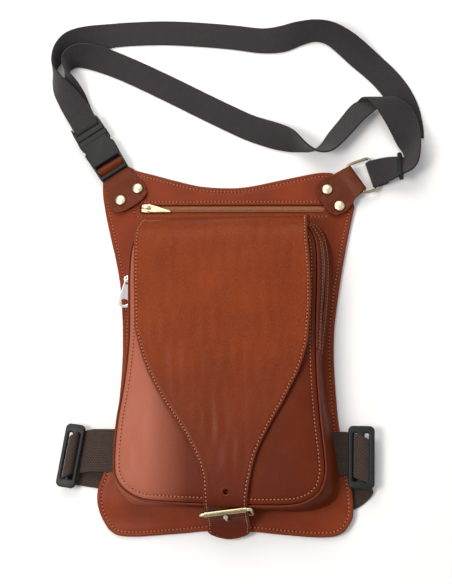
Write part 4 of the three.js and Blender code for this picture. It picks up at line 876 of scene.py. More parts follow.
# %% Wires, lathe and plates
def tube(path, radius, plane, closed=False, sides=14):
    """A round wire along a path that lies in the plane with this normal; radius may change along it. An
    open wire ends in two domes. Returns points and faces."""
    path = np.asarray(path, float)
    radius = np.broadcast_to(np.asarray(radius, float), len(path))
    if not closed:
        ahead = unit(np.gradient(path, axis=0))
        dome = np.linspace(0, 1, 6)[:-1]
        tip, out = radius[-1] * np.sin(dome * np.pi / 2), radius[-1] * np.cos(dome * np.pi / 2)
        toe, back = radius[0] * np.sin(dome * np.pi / 2), radius[0] * np.cos(dome * np.pi / 2)
        toe, tip = path[0] - toe[::-1, None] * ahead[0], path[-1] + tip[:, None] * ahead[-1]
        path = np.concatenate([toe, path, tip])
        radius = np.concatenate([back[::-1], radius, out])
    ahead = (np.roll(path, -1, 0) - np.roll(path, 1, 0)) if closed else np.gradient(path, axis=0)
    side = unit(np.cross(np.broadcast_to(np.asarray(plane, float), path.shape), ahead))
    other = unit(np.cross(ahead, side))
    turn = np.linspace(0, 2 * np.pi, sides + 1)[:-1]
    points = path[:, None] + radius[:, None, None] * (side[:, None] * np.cos(turn)[:, None]
                                                     + other[:, None] * np.sin(turn)[:, None])
    index = np.arange(len(path) * sides).reshape(len(path), sides)
    if closed:
        return points, cells(np.vstack([index, index[:1]]).T, ring=True)
    wall = cells(index.T, ring=True)
    centre = np.stack([path[0], path[-1]])
    points = np.concatenate([points.reshape(-1, 3), centre])
    first, last = index[0], index[-1]
    middle = len(points) - 2
    fan = [np.stack([np.full(sides // 2, c), r[::2], r[1::2], np.roll(r, -2)[::2]], -1)
           for c, r in ((middle, first), (middle + 1, last[::-1]))]
    return points, np.concatenate([wall, *fan])


def lathe(profile, at, axis=(0, 0, 1), sides=40):
    """A profile of radius and height pairs, from axis to axis, turned about the axis through at."""
    axis = unit(np.asarray(axis, float))
    first = unit(np.cross(axis, (0.31, 0.95, 0.1)))
    turn = np.linspace(0, 2 * np.pi, sides + 1)[:-1, None, None]
    r, h = np.asarray(profile, float)[1:-1].T[:, None, :, None]
    spoke = first * np.cos(turn) + np.cross(axis, first) * np.sin(turn)
    points = np.asarray(at, float) + r * spoke + h * axis
    index = np.arange(points[..., 0].size).reshape(points.shape[:2])
    ends = np.asarray(at, float) + np.outer(np.asarray(profile, float)[[0, -1], 1], axis)
    number = index.size
    ring = index[:, 0], index[::-1, -1]
    fan = [np.stack([np.full(sides // 2, number + k), r[::2], r[1::2], np.roll(r, -2)[::2]], -1)
           for k, r in enumerate(ring)]
    return np.concatenate([points.reshape(-1, 3), ends]), np.concatenate([cells(index, ring=True), *fan])


def frame_at(x, y, z, turn=0.0, tip=0.0):
    """A place and two turns in degrees, tip about Y and then turn about Z, as a matrix in mm."""
    turned = Matrix.Rotation(math.radians(turn), 4, "Z") @ Matrix.Rotation(math.radians(tip), 4, "Y")
    return Matrix.Translation((x, y, z)) @ turned


def rounded(wide, high, radius, x=0.0):
    """A rectangle with round corners as an outline, its middle moved along by x."""
    turn = np.radians(np.linspace(0, 90, 8))
    arcs = [np.stack([sx * (wide / 2 - radius) + radius * np.cos(turn + a), sy * (high / 2 - radius)
                      + radius * np.sin(turn + a)], -1)
            for sx, sy, a in ((1, 1, 0), (-1, 1, np.pi / 2), (-1, -1, np.pi), (1, -1, 1.5 * np.pi))]
    return np.concatenate(arcs) + (x, 0)


def circle(radius, x=0.0):
    """A circle as an outline, its middle moved along by x."""
    turn = np.linspace(0, 2 * np.pi, 33)[:-1]
    return np.stack([x + radius * np.cos(turn), radius * np.sin(turn)], -1)


def plate(outline, holes, thick, arris):
    """The mesh of an outline with holes, this thick about its middle plane, with its arrises rounded."""
    flat = bpy.data.curves.new("plate", "CURVE")
    flat.dimensions, flat.fill_mode = "2D", "BOTH"
    flat.extrude, flat.bevel_depth, flat.bevel_resolution, flat.offset = thick / 2 - arris, arris, 3, -arris
    for line in (outline, *holes):
        spline = flat.splines.new("POLY")
        spline.points.add(len(line) - 1)
        spline.points.foreach_set("co", np.column_stack([line, 0 * line[:, 0], 1 + 0 * line[:, 0]]).ravel())
        spline.use_cyclic_u = True
    thing = bpy.data.objects.new("plate", flat)
    bpy.context.scene.collection.objects.link(thing)
    mesh = bpy.data.meshes.new_from_object(thing.evaluated_get(bpy.context.evaluated_depsgraph_get()))
    bpy.data.objects.remove(thing)
    return mesh


def fit(name, mesh, where, material, bend=None, **more):
    """A plate's mesh welded, bent if asked, and put in its place as one of the bag's pieces."""
    work = bmesh.new()
    work.from_mesh(mesh)
    bmesh.ops.remove_doubles(work, verts=work.verts, dist=0.002)
    bmesh.ops.triangulate(work, faces=work.faces)
    work.to_mesh(mesh)
    work.free()
    points = np.empty(len(mesh.vertices) * 3)
    mesh.vertices.foreach_get("co", points)
    points = points.reshape(-1, 3)
    if bend is not None:
        points = bend(points)
    corners = np.empty(len(mesh.loops), int)
    mesh.loops.foreach_get("vertex_index", corners)
    turn = np.array(where)
    bpy.data.meshes.remove(mesh)
    thing = put(name, points @ turn[:3, :3].T + turn[:3, 3], corners.reshape(-1, 3), material, **more)
    thing.data.set_sharp_from_angle(angle=math.radians(32))
    return thing


# %% [markdown]
# Zips
#
# Each zip is a strip of twill with a closed nylon coil down its middle. The coil shows as a row of small
# slanted links, a little over a millimetre apart: one link is a few faces, copied along the zip. The top
# zip lies between the lips of its slot, the main zip between the two strips of the pocket's wall.

# %% Zips
around, length = np.meshgrid(np.linspace(0, 2 * np.pi, 7)[:-1], np.linspace(-1, 1, 5), indexing="ij")
LINK = np.stack([0.52 * np.sqrt(np.clip(1 - length**4, 0, 1)) * np.cos(around), 2.1 * length,
                 0.75 * np.sqrt(np.clip(1 - length**4, 0, 1)) * np.sin(around)], -1)
LINK_FACES = cells(np.arange(30).reshape(6, 5), ring=True)
LINK_PITCH = 1.35


def zip_at(x, across, up=0.0):
    y = top_zip_y(x) + across
    return np.stack([x, y, face_top(x, y) - FACE_T + 0.75 + up], -1)


X, W = np.meshgrid(np.linspace(TOP_ZIP["left"] + 0.5, TOP_ZIP["right"] - 0.5, 60), np.linspace(-3.2, 3.2, 7),
                   indexing="ij")
shell("top_zip_tape", zip_at(X, W), 0.8, ZIP_TAPE, replaces="top_zip", slot="zip")
x = np.arange(TOP_ZIP["left"] + 14, TOP_ZIP["right"] - 1.5, LINK_PITCH)
points, faces = copies(LINK, LINK_FACES, zip_at(x, 0 * x, 0.75), np.tile([1.0, 0.25, 0], (len(x), 1)),
                       np.tile([0.0, 0, 1], (len(x), 1)))
put("top_zip_coil", points, faces, ZIP_COIL)

rows, length = wall_rows(ZIP_FROM - 0.4, ZIP_TO + 0.4, np.linspace(0, 1, 170))
R, T = np.meshgrid(rows, np.linspace(0.36, 0.68, 7), indexing="ij")
shell("main_zip_tape", wall_point(R, T, -1.45)[:, ::-1], 0.8, ZIP_TAPE, replaces="main_zip", slot="zip")
rows = wall_rows(ZIP_FROM + 0.05, ZIP_TO - 0.05, np.arange(0, 1, LINK_PITCH / length))[0]
share = 0 * rows + ZIP_MIDDLE
middle = wall_point(rows, share, -0.5)
ahead = unit(wall_point(rows + 0.02, share, -0.5) - middle)
normal = outward(rows, share)
points, faces = copies(LINK, LINK_FACES, middle, ahead + 0.25 * np.cross(normal, ahead), normal)
put("main_zip_coil", points, faces, ZIP_COIL)

# %% [markdown]
# Sliders and pullers
#
# A slider is a wedge that closes the chain, with a bridge over it. The top zip's puller is a pointed brass
# blade, the pocket's a nickel teardrop with a second hole, and each hangs over its bridge by its eye.

# %% Sliders and pullers
def slider(name, where, wide, long, high, arch, material, node, slot):
    """The wedge and its bridge: the body is a plate, the bridge a short round wire in the middle plane."""
    half, nose = wide / 2, long / 2
    outline = np.array([(-nose, -half + 1), (nose - 2.4, -half), (nose - 0.6, -half + 0.9), (nose, -half / 2),
                        (nose, half / 2), (nose - 0.6, half - 0.9), (nose - 2.4, half), (-nose, half - 1)])
    fit(name, plate(outline, [], high, 0.5), where, material, replaces=node, slot=slot)
    x = np.array([0.3, 0.32, 0.3, 0.18, -0.04, -0.24, -0.36, -0.39, -0.37]) * long
    z = high / 2 + np.array([-0.3, 0.4, 0.72, 0.93, 1.0, 0.93, 0.72, 0.4, -0.3]) * arch
    path = curve(np.column_stack([x, 0 * x, z]), np.linspace(0, 8, 33))
    turn = np.array(where)
    points, faces = tube(path, 0.8, (0, 1, 0), sides=10)
    put(name + "_bridge", points.reshape(-1, 3) @ turn[:3, :3].T + turn[:3, 3], faces, material)


top_x = -77
top_z = float(zip_at(np.array(top_x), 0.0)[2]) + 1.7
zip_turn = math.degrees(math.atan(TOP_ZIP["slope"]))
slider("top_zip_runner", frame_at(top_x, top_zip_y(top_x), top_z + 1.25, zip_turn), 8.6, 10, 2.2, 2.8, BRASS,
       "top_zip_slider", "brass")
BLADE = np.array([
    (-3.4, -2.4), (-2.4, -3.2), (-0.8, -3.5), (5, -3.2), (12, -2.0), (19.4, -0.75), (20.4, -0.25),
    (20.4, 0.3), (19.4, 0.75), (12, 2.0), (5, 3.2), (-0.8, 3.5), (-2.4, 3.2), (-3.4, 2.4)])
fit("top_zip_blade", plate(BLADE, [circle(1.9)], 1.1, 0.35),
    frame_at(top_x + 2.8, top_zip_y(top_x) - 0.4, top_z + 3.4, -9, 5), BRASS,
    replaces="top_zip_puller", slot="brass")

RUNNER_ROW = np.array(26.72)  # of SEAM, on the left of the pocket
share = np.array(ZIP_MIDDLE)
normal = outward(RUNNER_ROW, share)
ahead = unit(seam(RUNNER_ROW + 0.05, share) - seam(RUNNER_ROW - 0.05, share))
side_zip = Matrix(np.column_stack([ahead, np.cross(normal, ahead), normal])).to_4x4()
side_zip.translation = Vector(wall_point(RUNNER_ROW, share, 1.9))
side_zip = side_zip @ Matrix.Rotation(math.pi, 4, "Z")
slider("main_zip_runner", side_zip, 8, 6.5, 2, 2.3, NICKEL, "main_zip_slider", "silver")
# the puller hangs from its eye, down and outwards, with its flat face turned up
PULLER_EYE, hangs = (-89.1, 64.8, 24.4), unit(np.array([-0.24, -0.83, -0.5]))
facing = np.array([0.22, -0.2, 0.95])
facing = unit(facing - hangs * (facing @ hangs))
hanging = Matrix(np.column_stack([hangs, np.cross(facing, hangs), facing])).to_4x4()
hanging.translation = Vector(PULLER_EYE)
PULLER = np.array([(-3.4, 1.4), (-2.4, 2.8), (0, 3.4), (6, 4.4), (14, 5.6), (19, 6), (22.6, 5), (24.6, 2.4)])
half = curve(PULLER, np.linspace(0, 7, 36))
teardrop = np.concatenate([half * (1, -1), half[::-1]])
fit("main_zip_teardrop", plate(teardrop, [circle(1.9), circle(3.1, 18.9)], 1.1, 0.35), hanging, NICKEL,
    replaces="main_zip_puller", slot="silver")

# %% [markdown]
# The flap
#
# One long tongue of leather: sewn down under the top zip, over the pocket's edge and its front, narrowing
# to a strap that bends down through the buckle and ends on the panel. Laid flat it is a plain outline, x
# across and s along, so its edge distance, seams and holes are worked out there, and the table of heights
# then bends it. Round holes are made by drawing a small square block of the grid out into a circle.

# %% Flap table
FLAP = np.array([  # y, z, left, right
    (132.6, 7.2, -79, 74), (128.6, 8.0, -79, 74), (125.6, 11.5, -79, 74), (124.2, 18, -78.5, 74.5),
    (122.2, 26, -76.6, 75), (119.2, 34, -76.4, 75), (114.5, 40.6, -77.4, 75.5), (107, 44.7, -79, 75.5),
    (97, 46.3, -79.6, 76), (72, 46.8, -79.2, 78), (44, 47, -78, 78.5), (20, 47, -76.5, 77),
    (5, 47, -73, 75.5), (-10, 47, -68, 71.5), (-22, 47, -63, 67), (-34, 47, -56.5, 61),
    (-46, 47, -49.5, 55), (-58, 47, -41.5, 48), (-70, 46.9, -33, 41.5), (-84, 46.7, -25, 34.5),
    (-98, 46.3, -18.5, 29.5), (-110, 45.6, -15, 27), (-121, 44.3, -14, 25), (-128.5, 42.6, -13.7, 24),
    (-132.8, 39.8, -13.7, 23.8), (-135.4, 35.5, -13.7, 23.7), (-139, 30.8, -13.7, 23.7),
    (-142.6, 27, -13.7, 23.7), (-145.2, 22, -13.7, 23.7), (-147.2, 17, -13.9, 23.7),
    (-150, 12.6, -14.3, 23.7), (-154, 9.6, -14.6, 23.4), (-158.4, 7.9, -14.4, 23), (-162, 6.6, -13, 21.6)])
PRONG_ASIDE = 0.4  # mm that the prong lies right of the buckle's middle
FLAP_BUCKLE = {"x": 4.7, "inside": 20.1, "roller": (-139.1, 37.2), "pin": (-140.4, 20)}
fine_row = np.linspace(0, len(FLAP) - 1, 1601)
fine_flap = curve(FLAP, fine_row)
fine_s = path_length(fine_flap[:, :2])
FLAP_LONG = fine_s[-1]


def flap_row(s):
    """y, z, left and right at a length s along the flap."""
    return np.stack([np.interp(s, fine_s, fine_flap[:, k]) for k in range(4)], -1)


def flap_at(x, s):
    """The flap's middle surface: its seam end runs parallel to the zip above it."""
    row = flap_row(s)
    parallel = TOP_ZIP["slope"] * x * np.clip((8 - s) / 8, 0, 1)
    return np.stack([x, row[..., 0] + parallel, row[..., 1]], -1)


def flap_s(y, z):
    """The length along the flap at which it passes nearest to a height and depth."""
    return float(fine_s[np.argmin(np.hypot(fine_flap[:, 0] - y, fine_flap[:, 1] - z))])


print("flap length along its curve, mm:", round(float(FLAP_LONG), 1))

# %% Flap
SPARE_HOLE = (5.8, flap_s(-122.6, 44.0), 2.1)
PRONG_HOLE = (FLAP_BUCKLE["x"] + PRONG_ASIDE, flap_s(-144.4, 23.9), 2.4)
s_lines = lines(FLAP_LONG, 2.2) * FLAP_LONG
FLAP_SEWN = 2.4  # mm from the flap's edge to its stitches
HALF_BLOCK = 4  # cells from a hole's middle to its edge
END_ROUND = 7  # mm, radius of the two corners of the free end
for _, s_hole, radius in (SPARE_HOLE, PRONG_HOLE):
    block = s_hole + np.arange(-3 * HALF_BLOCK, 3 * HALF_BLOCK + 1) * radius / HALF_BLOCK
    s_lines = np.concatenate([s_lines[(s_lines < block[0] - 0.4) | (s_lines > block[-1] + 0.4)], block])
s_lines = np.sort(s_lines)
shares = lines(150, 2.2)[::-1]  # from right to left, so that the upper face looks up
SHARE, S = np.meshgrid(shares, s_lines, indexing="ij")
left, right_edge = flap_row(S)[..., 2], flap_row(S)[..., 3]
into_corner = np.clip(S - FLAP_LONG + END_ROUND, 0, END_ROUND)
end_round = END_ROUND - np.sqrt(END_ROUND**2 - into_corner**2)
left, right_edge = left + end_round, right_edge - end_round
x = left + (right_edge - left) * SHARE
S = S - 2.5 * (2 * SHARE - 1) ** 2 * np.clip((S - FLAP_LONG + 12) / 12, 0, 1)  # the free end is a shallow arc
hole = np.zeros((len(shares) - 1, len(s_lines) - 1), bool)
for x_hole, s_hole, radius in (SPARE_HOLE, PRONG_HOLE):
    k = int(np.argmin(abs(s_lines - s_hole)))
    i = int(np.argmin(abs(x[:, k] - x_hole)))
    a = (i - np.arange(len(shares)))[:, None] / HALF_BLOCK + 0 * S
    b = (np.arange(len(s_lines)) - k)[None, :] / HALF_BLOCK + 0 * S
    reach = np.maximum(np.maximum(abs(a), abs(b)), 1e-9)
    away = np.maximum(np.hypot(a, b), 1e-9)
    share = plateau(reach, 1.0, 3.0)
    x = x * (1 - share) + (x_hole + radius * a * reach / away) * share
    S = S * (1 - share) + (s_hole + radius * b * reach / away) * share
    hole[i - HALF_BLOCK : i + HALF_BLOCK, k - HALF_BLOCK : k + HALF_BLOCK] = True
flap_outline = border(x, -S)
to_edge = sheet_distance(x, -S)
holes = np.minimum(*[abs(np.hypot(x - x_hole, S - s_hole) - radius)
                     for x_hole, s_hole, radius in (SPARE_HOLE, PRONG_HOLE)])
touching = np.zeros(x.shape, bool)
for di in (0, 1):
    for dk in (0, 1):
        touching[di : di + hole.shape[0], dk : dk + hole.shape[1]] |= hole
distance = np.where(touching, 0, np.minimum(to_edge, holes + 1e-4))
mid = flap_at(x, S)
on_front = plateau(np.abs(S - 140), 105, 135)
side_seam = groove(np.where(S < FLAP_LONG - 14, to_edge, 9), inset=FLAP_SEWN, deep=0.3)
waves = 0.5 * uneven(x, S, 80, 21) + 0.22 * uneven(x * 2.2, S * 0.35, 18, 22)
crease = -0.5 * hill(S, SPARE_HOLE[1] - 9, 2.2) + 0.35 * hill(S, SPARE_HOLE[1] - 4.5, 2.4)
burnished = 0.25 * hill(np.hypot(x - SPARE_HOLE[0], S - SPARE_HOLE[1]), 3.2, 1.0)
relief = side_seam + (waves + crease) * np.clip(distance / 20, 0, 1) * on_front + burnished
flap_upper = shell("flap_leather", mid, FLAP_T, FLAP_LEATHER, hole=hole, distance=distance, relief=relief,
                   replaces="flap", slot="leather")[1]
flap_up = face_normals(flap_upper)


# %% Flap stitches
def on_sheet(flat, x, s, sheet, up):
    """Points of a flat line put on a bent sheet: each takes the nearest grid point, moved by what is left."""
    blocks = np.array_split(flat, len(flat) // 50 + 1)
    nearest = np.concatenate([np.argmin(np.hypot(b[:, :1] - x.ravel(), b[:, 1:] - s.ravel()), -1)
                              for b in blocks])
    dx = np.gradient(x, axis=0)[..., None]
    across = np.gradient(sheet, axis=0) * dx / np.maximum(dx**2, 1e-12)
    down = unit(np.gradient(sheet, axis=1))
    at, across, down, up = [grid.reshape(-1, 3)[nearest] for grid in (sheet, across, down, up)]
    rest = flat - np.stack([x.ravel()[nearest], s.ravel()[nearest]], -1)
    return at + rest[:, :1] * across + rest[:, 1:] * down, up


seam_line = inset(flap_outline, FLAP_SEWN)[::5] * (1, -1)
for name, keep in (("left", seam_line[:, 0] < FLAP_BUCKLE["x"]),
                   ("right", seam_line[:, 0] > FLAP_BUCKLE["x"])):
    one = seam_line[keep & (seam_line[:, 1] > 7) & (seam_line[:, 1] < FLAP_LONG - 6)]
    one = one[np.argsort(one[:, 1])]
    sew("stitches_flap_" + name, *on_sheet(one, x, S, flap_upper, flap_up))

# %% [markdown]
# The flap's buckle
#
# A rectangle of wire: its inner bar is held by a folded strip of leather on the panel, its outer bar turns
# in a tube that the flap slides over, and a bent prong comes up through the flap to lie on the roller.

# %% Flap buckle
WIRE, ROLLER = 1.5, 2.5  # radii, mm


def softened(corners, cuts):
    """A closed line that keeps each side of a polygon and rounds its corners, starting each bend at a share
    of the side before it and ending it at a share of the side after it."""
    corners = np.asarray(corners, float)
    before, after = np.roll(corners, 1, 0), np.roll(corners, -1, 0)
    cuts = np.asarray(cuts)[..., None, None]
    t = np.linspace(0, 1, 9)[:, None]
    start = corners + (before - corners) * cuts[:, 0, 0]
    end = corners + (after - corners) * cuts[:, 1, 0]
    bends = [(1 - t) ** 2 * a + 2 * t * (1 - t) * c + t**2 * b for a, c, b in zip(start, corners, end)]
    return np.concatenate(bends)


bx = FLAP_BUCKLE["x"]
(roller_y, roller_z), (pin_y, pin_z) = FLAP_BUCKLE["roller"], FLAP_BUCKLE["pin"]
side = FLAP_BUCKLE["inside"] + WIRE + 0.15
corners = [(bx - side, roller_y, roller_z), (bx + side, roller_y, roller_z), (bx + side, pin_y, pin_z),
           (bx - side, pin_y, pin_z)]
loop = softened(corners, [(0.16, 0.06), (0.06, 0.16), (0.16, 0.06), (0.06, 0.16)])
ASKEW = 0.13  # how much the roller's right end lies further up the bag, for each mm across


def askew(points):
    """The same points with the roller's end of the buckle turned up to the right, and its pin's end level."""
    share = np.clip((points[..., 2] - pin_z) / (roller_z - pin_z), 0, 1)
    return points + np.stack([0 * share, (points[..., 0] - bx) * ASKEW * share, 0.5 * share], -1)


def turned_about_x(profile, x, y, z):
    """The points and faces of a closed profile turned about the line along X through a place; each point of
    the profile is a radius and a distance along that line."""
    turn = np.linspace(0, 2 * np.pi, 33)[:-1, None]
    r, h = np.array(profile).T
    points = np.stack([x + h + 0 * turn, y + r * np.cos(turn), z + r * np.sin(turn)], -1)
    index = np.arange(points[..., 0].size).reshape(points.shape[:2])
    return points, cells(np.concatenate([index, index[:, :1]], 1), ring=True)


points, faces = tube(loop, WIRE, (0, roller_z - pin_z, pin_y - roller_y), closed=True, sides=18)
put("flap_buckle_wire", askew(points), faces, BRASS, replaces="flap_buckle_frame", slot="brass")
HALF_TUBE = 18.2  # mm, half the roller's length
tube_wall = [(WIRE + 0.35, -HALF_TUBE), (ROLLER - 0.25, -HALF_TUBE), (ROLLER, -HALF_TUBE + 0.25),
             (ROLLER, HALF_TUBE - 0.25), (ROLLER - 0.25, HALF_TUBE), (WIRE + 0.35, HALF_TUBE)]
points, faces = turned_about_x(tube_wall, bx, roller_y, roller_z)
thing = put("flap_buckle_tube", askew(points), faces, RING_BRASS, replaces="flap_buckle_roller", slot="brass")
thing.data.set_sharp_from_angle(angle=math.radians(40))

prong_x = bx + PRONG_ASIDE
PRONG = np.array([(pin_y - 1.9, pin_z + 1.4), (-144.4, 23.4), (-145.6, 28.5), (-144.6, 34), (-142.9, 38.4)])
path = curve(np.column_stack([0 * PRONG[:, 0] + prong_x, PRONG]), np.linspace(0, 4, 45))
prong_radius = np.interp(np.linspace(0, 1, 45), [0, 0.84, 0.93, 1], [1.15, 1.2, 2.3, 2.0])
points, faces = tube(path, prong_radius, (1, 0, 0))
eye = [(WIRE + 0.35, -1.3), (WIRE + 1.0, -1.3), (WIRE + 1.25, -1.0), (WIRE + 1.25, 1.0), (WIRE + 1.0, 1.3),
       (WIRE + 0.35, 1.3)]
put("flap_buckle_tongue", points, faces, BRASS, replaces="flap_buckle_prong", slot="brass")
put("flap_buckle_tongue_eye", *turned_about_x(eye, prong_x, pin_y, pin_z), BRASS)

CHAPE = np.array([(-151.5, 7.2), (-147.6, 7.5), (-145, 9.2), (-143.9, 13), (-143.7, 17), (-143.3, 21),
                  (-142, 22.9), (-140.3, 23.4), (-138.6, 22.8), (-137.6, 20.6), (-138, 15.5), (-139.2, 10.8)])
row = np.linspace(0, len(CHAPE) - 1, 89)
bent = curve(CHAPE, row)
CHAPE_WIDE, CHAPE_SLOT = 28, 4.2  # mm: the leather, and the slot in it for the prong
slot_sides = (CHAPE_WIDE / 2 + PRONG_ASIDE + np.array([-0.5, 0.5]) * CHAPE_SLOT) / CHAPE_WIDE
share_across = np.unique(np.concatenate([lines(CHAPE_WIDE, 1.6, EDGE_LINES[:7]), slot_sides]))
X = bx - CHAPE_WIDE / 2 + CHAPE_WIDE * share_across
mid = np.stack([X[:, None] + 0 * row, bent[:, 0] + 0 * X[:, None], bent[:, 1] + 0 * X[:, None]], -1)
slot_x = np.abs(X - prong_x) < CHAPE_SLOT / 2 + 0.01
slot_row = (bent[:, 1] > 16.2) & (bent[:, 0] < -137)
hole = (slot_x[:-1] & slot_x[1:])[:, None] & (slot_row[:-1] & slot_row[1:])[None, :]
distance = edge_distance(mid)
distance[np.ix_(slot_x, slot_row)] = 0
shell("buckle_chape_leather", mid, 1.6, LUG_LEATHER, hole=hole, distance=distance, replaces="buckle_chape",
      slot="lug_leather")

# %% [markdown]
# Lugs and rivets
#
# Each lug is a strap of leather folded round a bar, with its two leaves riveted through the panel. Its free
# end is a rounded tongue. Leather gives way under a rivet, so it dips and puckers round each cap.

# %% Lugs
LUG = np.array([
    (0, 14), (7, 14.6), (13, 16), (20, 18.6), (26, 19.2), (31.5, 17.4), (35.6, 12.5), (37.4, 6.5)])
LUG_LEFT = {"x": -108.5, "y": 174.5, "turn": 122, "reach": 8.5}
LUG_RIGHT = {"x": 117.6, "y": 162, "turn": 33, "reach": 0}
RIVETS = {"rivet_left_upper": (-86, 159), "rivet_left_lower": (-102, 148),
          "rivet_right_upper": (92, 153), "rivet_right_lower": (103, 137)}
LEAF_LOW, LEAF_TOP, WRAP = 5.85, 8.1, 3.0


def lug_half(back):
    return curve(LUG, np.interp(back, LUG[:, 0], np.arange(len(LUG))))[..., 1]


def lug(name, at, rivets, node):
    """Down the lower leaf, round the bar, and back along the upper leaf: rows of back, height, half width."""
    path = [(b, LEAF_LOW, float(lug_half(b)) - 0.6) for b in (33, 28, 21, 14, 7)]
    reach = at["reach"]
    if reach:
        path.append((0, LEAF_LOW, 12.9))
    path += [(-reach - WRAP * math.cos(a), LEAF_LOW + WRAP + WRAP * math.sin(a), 12.7 if reach else 13.3)
             for a in np.radians([-90, -45, 0, 45, 90])]
    path += ([(-6.2, LEAF_TOP + 2.9, 12.7), (-4, LEAF_TOP + 0.8, 12.7), (0, LEAF_TOP + 0.1, 13)] if reach
             else [(4.5, 10.6, 14.2)])
    path += [(b, LEAF_TOP + (0.35 if b < 12 else 0), float(lug_half(b))) for b in (10, 16, 21, 26, 30)]
    path += [(30 + 7.4 * math.sin(a), LEAF_TOP, 18.2 * math.cos(a) + 1.5 * math.sin(a))
             for a in np.radians([22, 42, 60, 76, 90])]
    path = np.array(path)
    length = path_length(path[:, :2])
    s = lines(length[-1], 1.3) * length[-1]
    back, z, half = np.moveaxis(curve(path, np.interp(s, length, np.arange(len(path)))), -1, 0)
    share = lines(36, 1.5)[:, None]
    b = half - 2 * half * share - 1.2 * np.clip((back - 11) / 3, 0, 1) * np.sign(90 - at["turn"])
    c, n = math.cos(math.radians(at["turn"])), math.sin(math.radians(at["turn"]))
    mid = np.stack([at["x"] - back * c - b * n, at["y"] - back * n + b * c, z + 0 * b], -1)
    distance = np.minimum(edge_distance(mid), sheet_distance(b, s + 0 * b))
    upper_leaf = s > s[np.argmin(back)]
    dips = sum(hill(np.hypot(mid[..., 0] - x, mid[..., 1] - y), 0, 8.5) for x, y in rivets)
    spokes = sum(hill(np.hypot(mid[..., 0] - x, mid[..., 1] - y), 7.5, 2.6)
                 * np.cos(7 * np.arctan2(mid[..., 1] - y, mid[..., 0] - x)) for x, y in rivets)
    relief = (-0.75 * dips + 0.18 * spokes + 0.3 * uneven(b, s + 0 * b, 24, 31)) * upper_leaf
    sign = np.sign(np.cross(mid[1, -1] - mid[0, -1], mid[0, -2] - mid[0, -1])[2]) or 1.0
    if sign > 0:
        mid, distance, relief = mid[::-1], distance[::-1], relief[::-1]
    shell(name, mid, LUG_T, LUG_LEATHER, relief=relief, distance=distance, replaces=node, slot="lug_leather")


lug("lug_left_leather", LUG_LEFT, list(RIVETS.values())[:2], "lug_left")
lug("lug_right_leather", LUG_RIGHT, list(RIVETS.values())[2:], "lug_right")

# %% Rivets
RIVET_R = 4.8
for name, (x, y) in RIVETS.items():
    foot = float(lift(np.array(x), np.array(y))) + 0.15
    washer = [(0, foot), (4.2, foot), (4.3, foot + 0.2), (4.3, foot + 1.2), (4.1, foot + 1.45)]
    shank = [(1.8, foot + 1.65), (1.8, 9.3)]
    cap = [(RIVET_R - 0.3, 9.35), (RIVET_R, 9.55), (RIVET_R, 9.95), (RIVET_R - 0.25, 10.3),
           (RIVET_R - 0.9, 10.62), (RIVET_R * 0.6, 10.95), (RIVET_R * 0.3, 11.12), (0.4, 11.18), (0, 11.2)]
    points, faces = lathe(washer + shank + cap, (x, y, 0))
    thing = put(name + "_cap", points, faces, BRASS, replaces=name, slot="brass")
    thing.data.set_sharp_from_angle(angle=math.radians(50))

# %% D-ring
RING = np.array([(109.4, 175.4, 8.9), (130.4, 183.6, 5.7), (138.4, 153.4, 5.6), (126.2, 148.6, 8.9)])
loop = softened(RING, [(0.16, 0.2), (0.2, 0.12), (0.12, 0.3), (0.3, 0.16)])
plane = np.cross(RING[1] - RING[0], RING[3] - RING[0])
put("d_ring_wire", *tube(loop, 1.35, plane, closed=True, sides=18), RING_BRASS, replaces="d_ring",
    slot="brass")

# %% [markdown]
# The side-release buckle
#
# Two mouldings lie end to end on the left lug. The female half is a flat box with a slot at one end, where
# the lug's leather passes round a bar, and a notch in each side that shows the release tabs. The male half
# enters it with two sprung arms, and the waist webbing turns round the bar in its mouth. Both are crowned
# across, and their arrises are well rounded.

# %% Buckle halves
buckle_at = frame_at(LUG_LEFT["x"], LUG_LEFT["y"], 6.9, LUG_LEFT["turn"])
FEMALE = np.array([
    (-0.8, 13.6), (0.8, 14.6), (12, 14.9), (22, 15.3), (28.6, 15.8), (30, 15.5), (31.2, 13.9),
    (32.6, 13.3), (35.2, 13.2), (36.6, 13.6), (38.0, 15.3), (39.4, 15.7), (42, 15.6), (44.4, 15.4)])


def mirrored(rows):
    return np.concatenate([rows * (1, -1), rows[::-1]])


def crowned(points):
    """The faces of a moulding swell a little in the middle of its width."""
    swell = 1 + 0.07 * (1 - np.clip(np.abs(points[:, 1:2]) / 15.5, 0, 1) ** 2) * (points[:, 2:3] > 0)
    return points * np.hstack([np.ones((len(points), 2)), swell])


fit("buckle_body", plate(mirrored(FEMALE), [rounded(11.2, 26.4, 1.6, 8.6)], 11.4, 1.5), buckle_at, ACETAL,
    bend=crowned, replaces="buckle_female", slot="plastic")
cross_bar = [(0, -13.7), (1.2, -13.7), (1.35, -13.5), (1.35, 13.5), (1.2, 13.7), (0, 13.7)]
turn_about = np.array(buckle_at)
middle = turn_about[:3, :3] @ (LUG_LEFT["reach"], 0, LEAF_LOW + WRAP - 6.9) + turn_about[:3, 3]
put("buckle_cross_bar", *lathe(cross_bar, middle, turn_about[:3, 1], sides=16), ACETAL)
fit("buckle_rail", plate(rounded(6.2, 30.2, 1.5, 41.2), [], 11.7, 1.3),
    buckle_at @ Matrix.Translation((0, 0, 0.35)), ACETAL, bend=crowned)
TAB = np.array([(31.6, 10), (31.8, 12.6), (32.8, 14.2), (35.4, 14.3), (36.4, 12.8), (36.6, 10)])
CHEEK = np.array([(50.5, 13.9), (52, 15.15), (58.4, 14.6), (60.2, 14.1), (60.2, 12.9), (50.5, 12.9)])
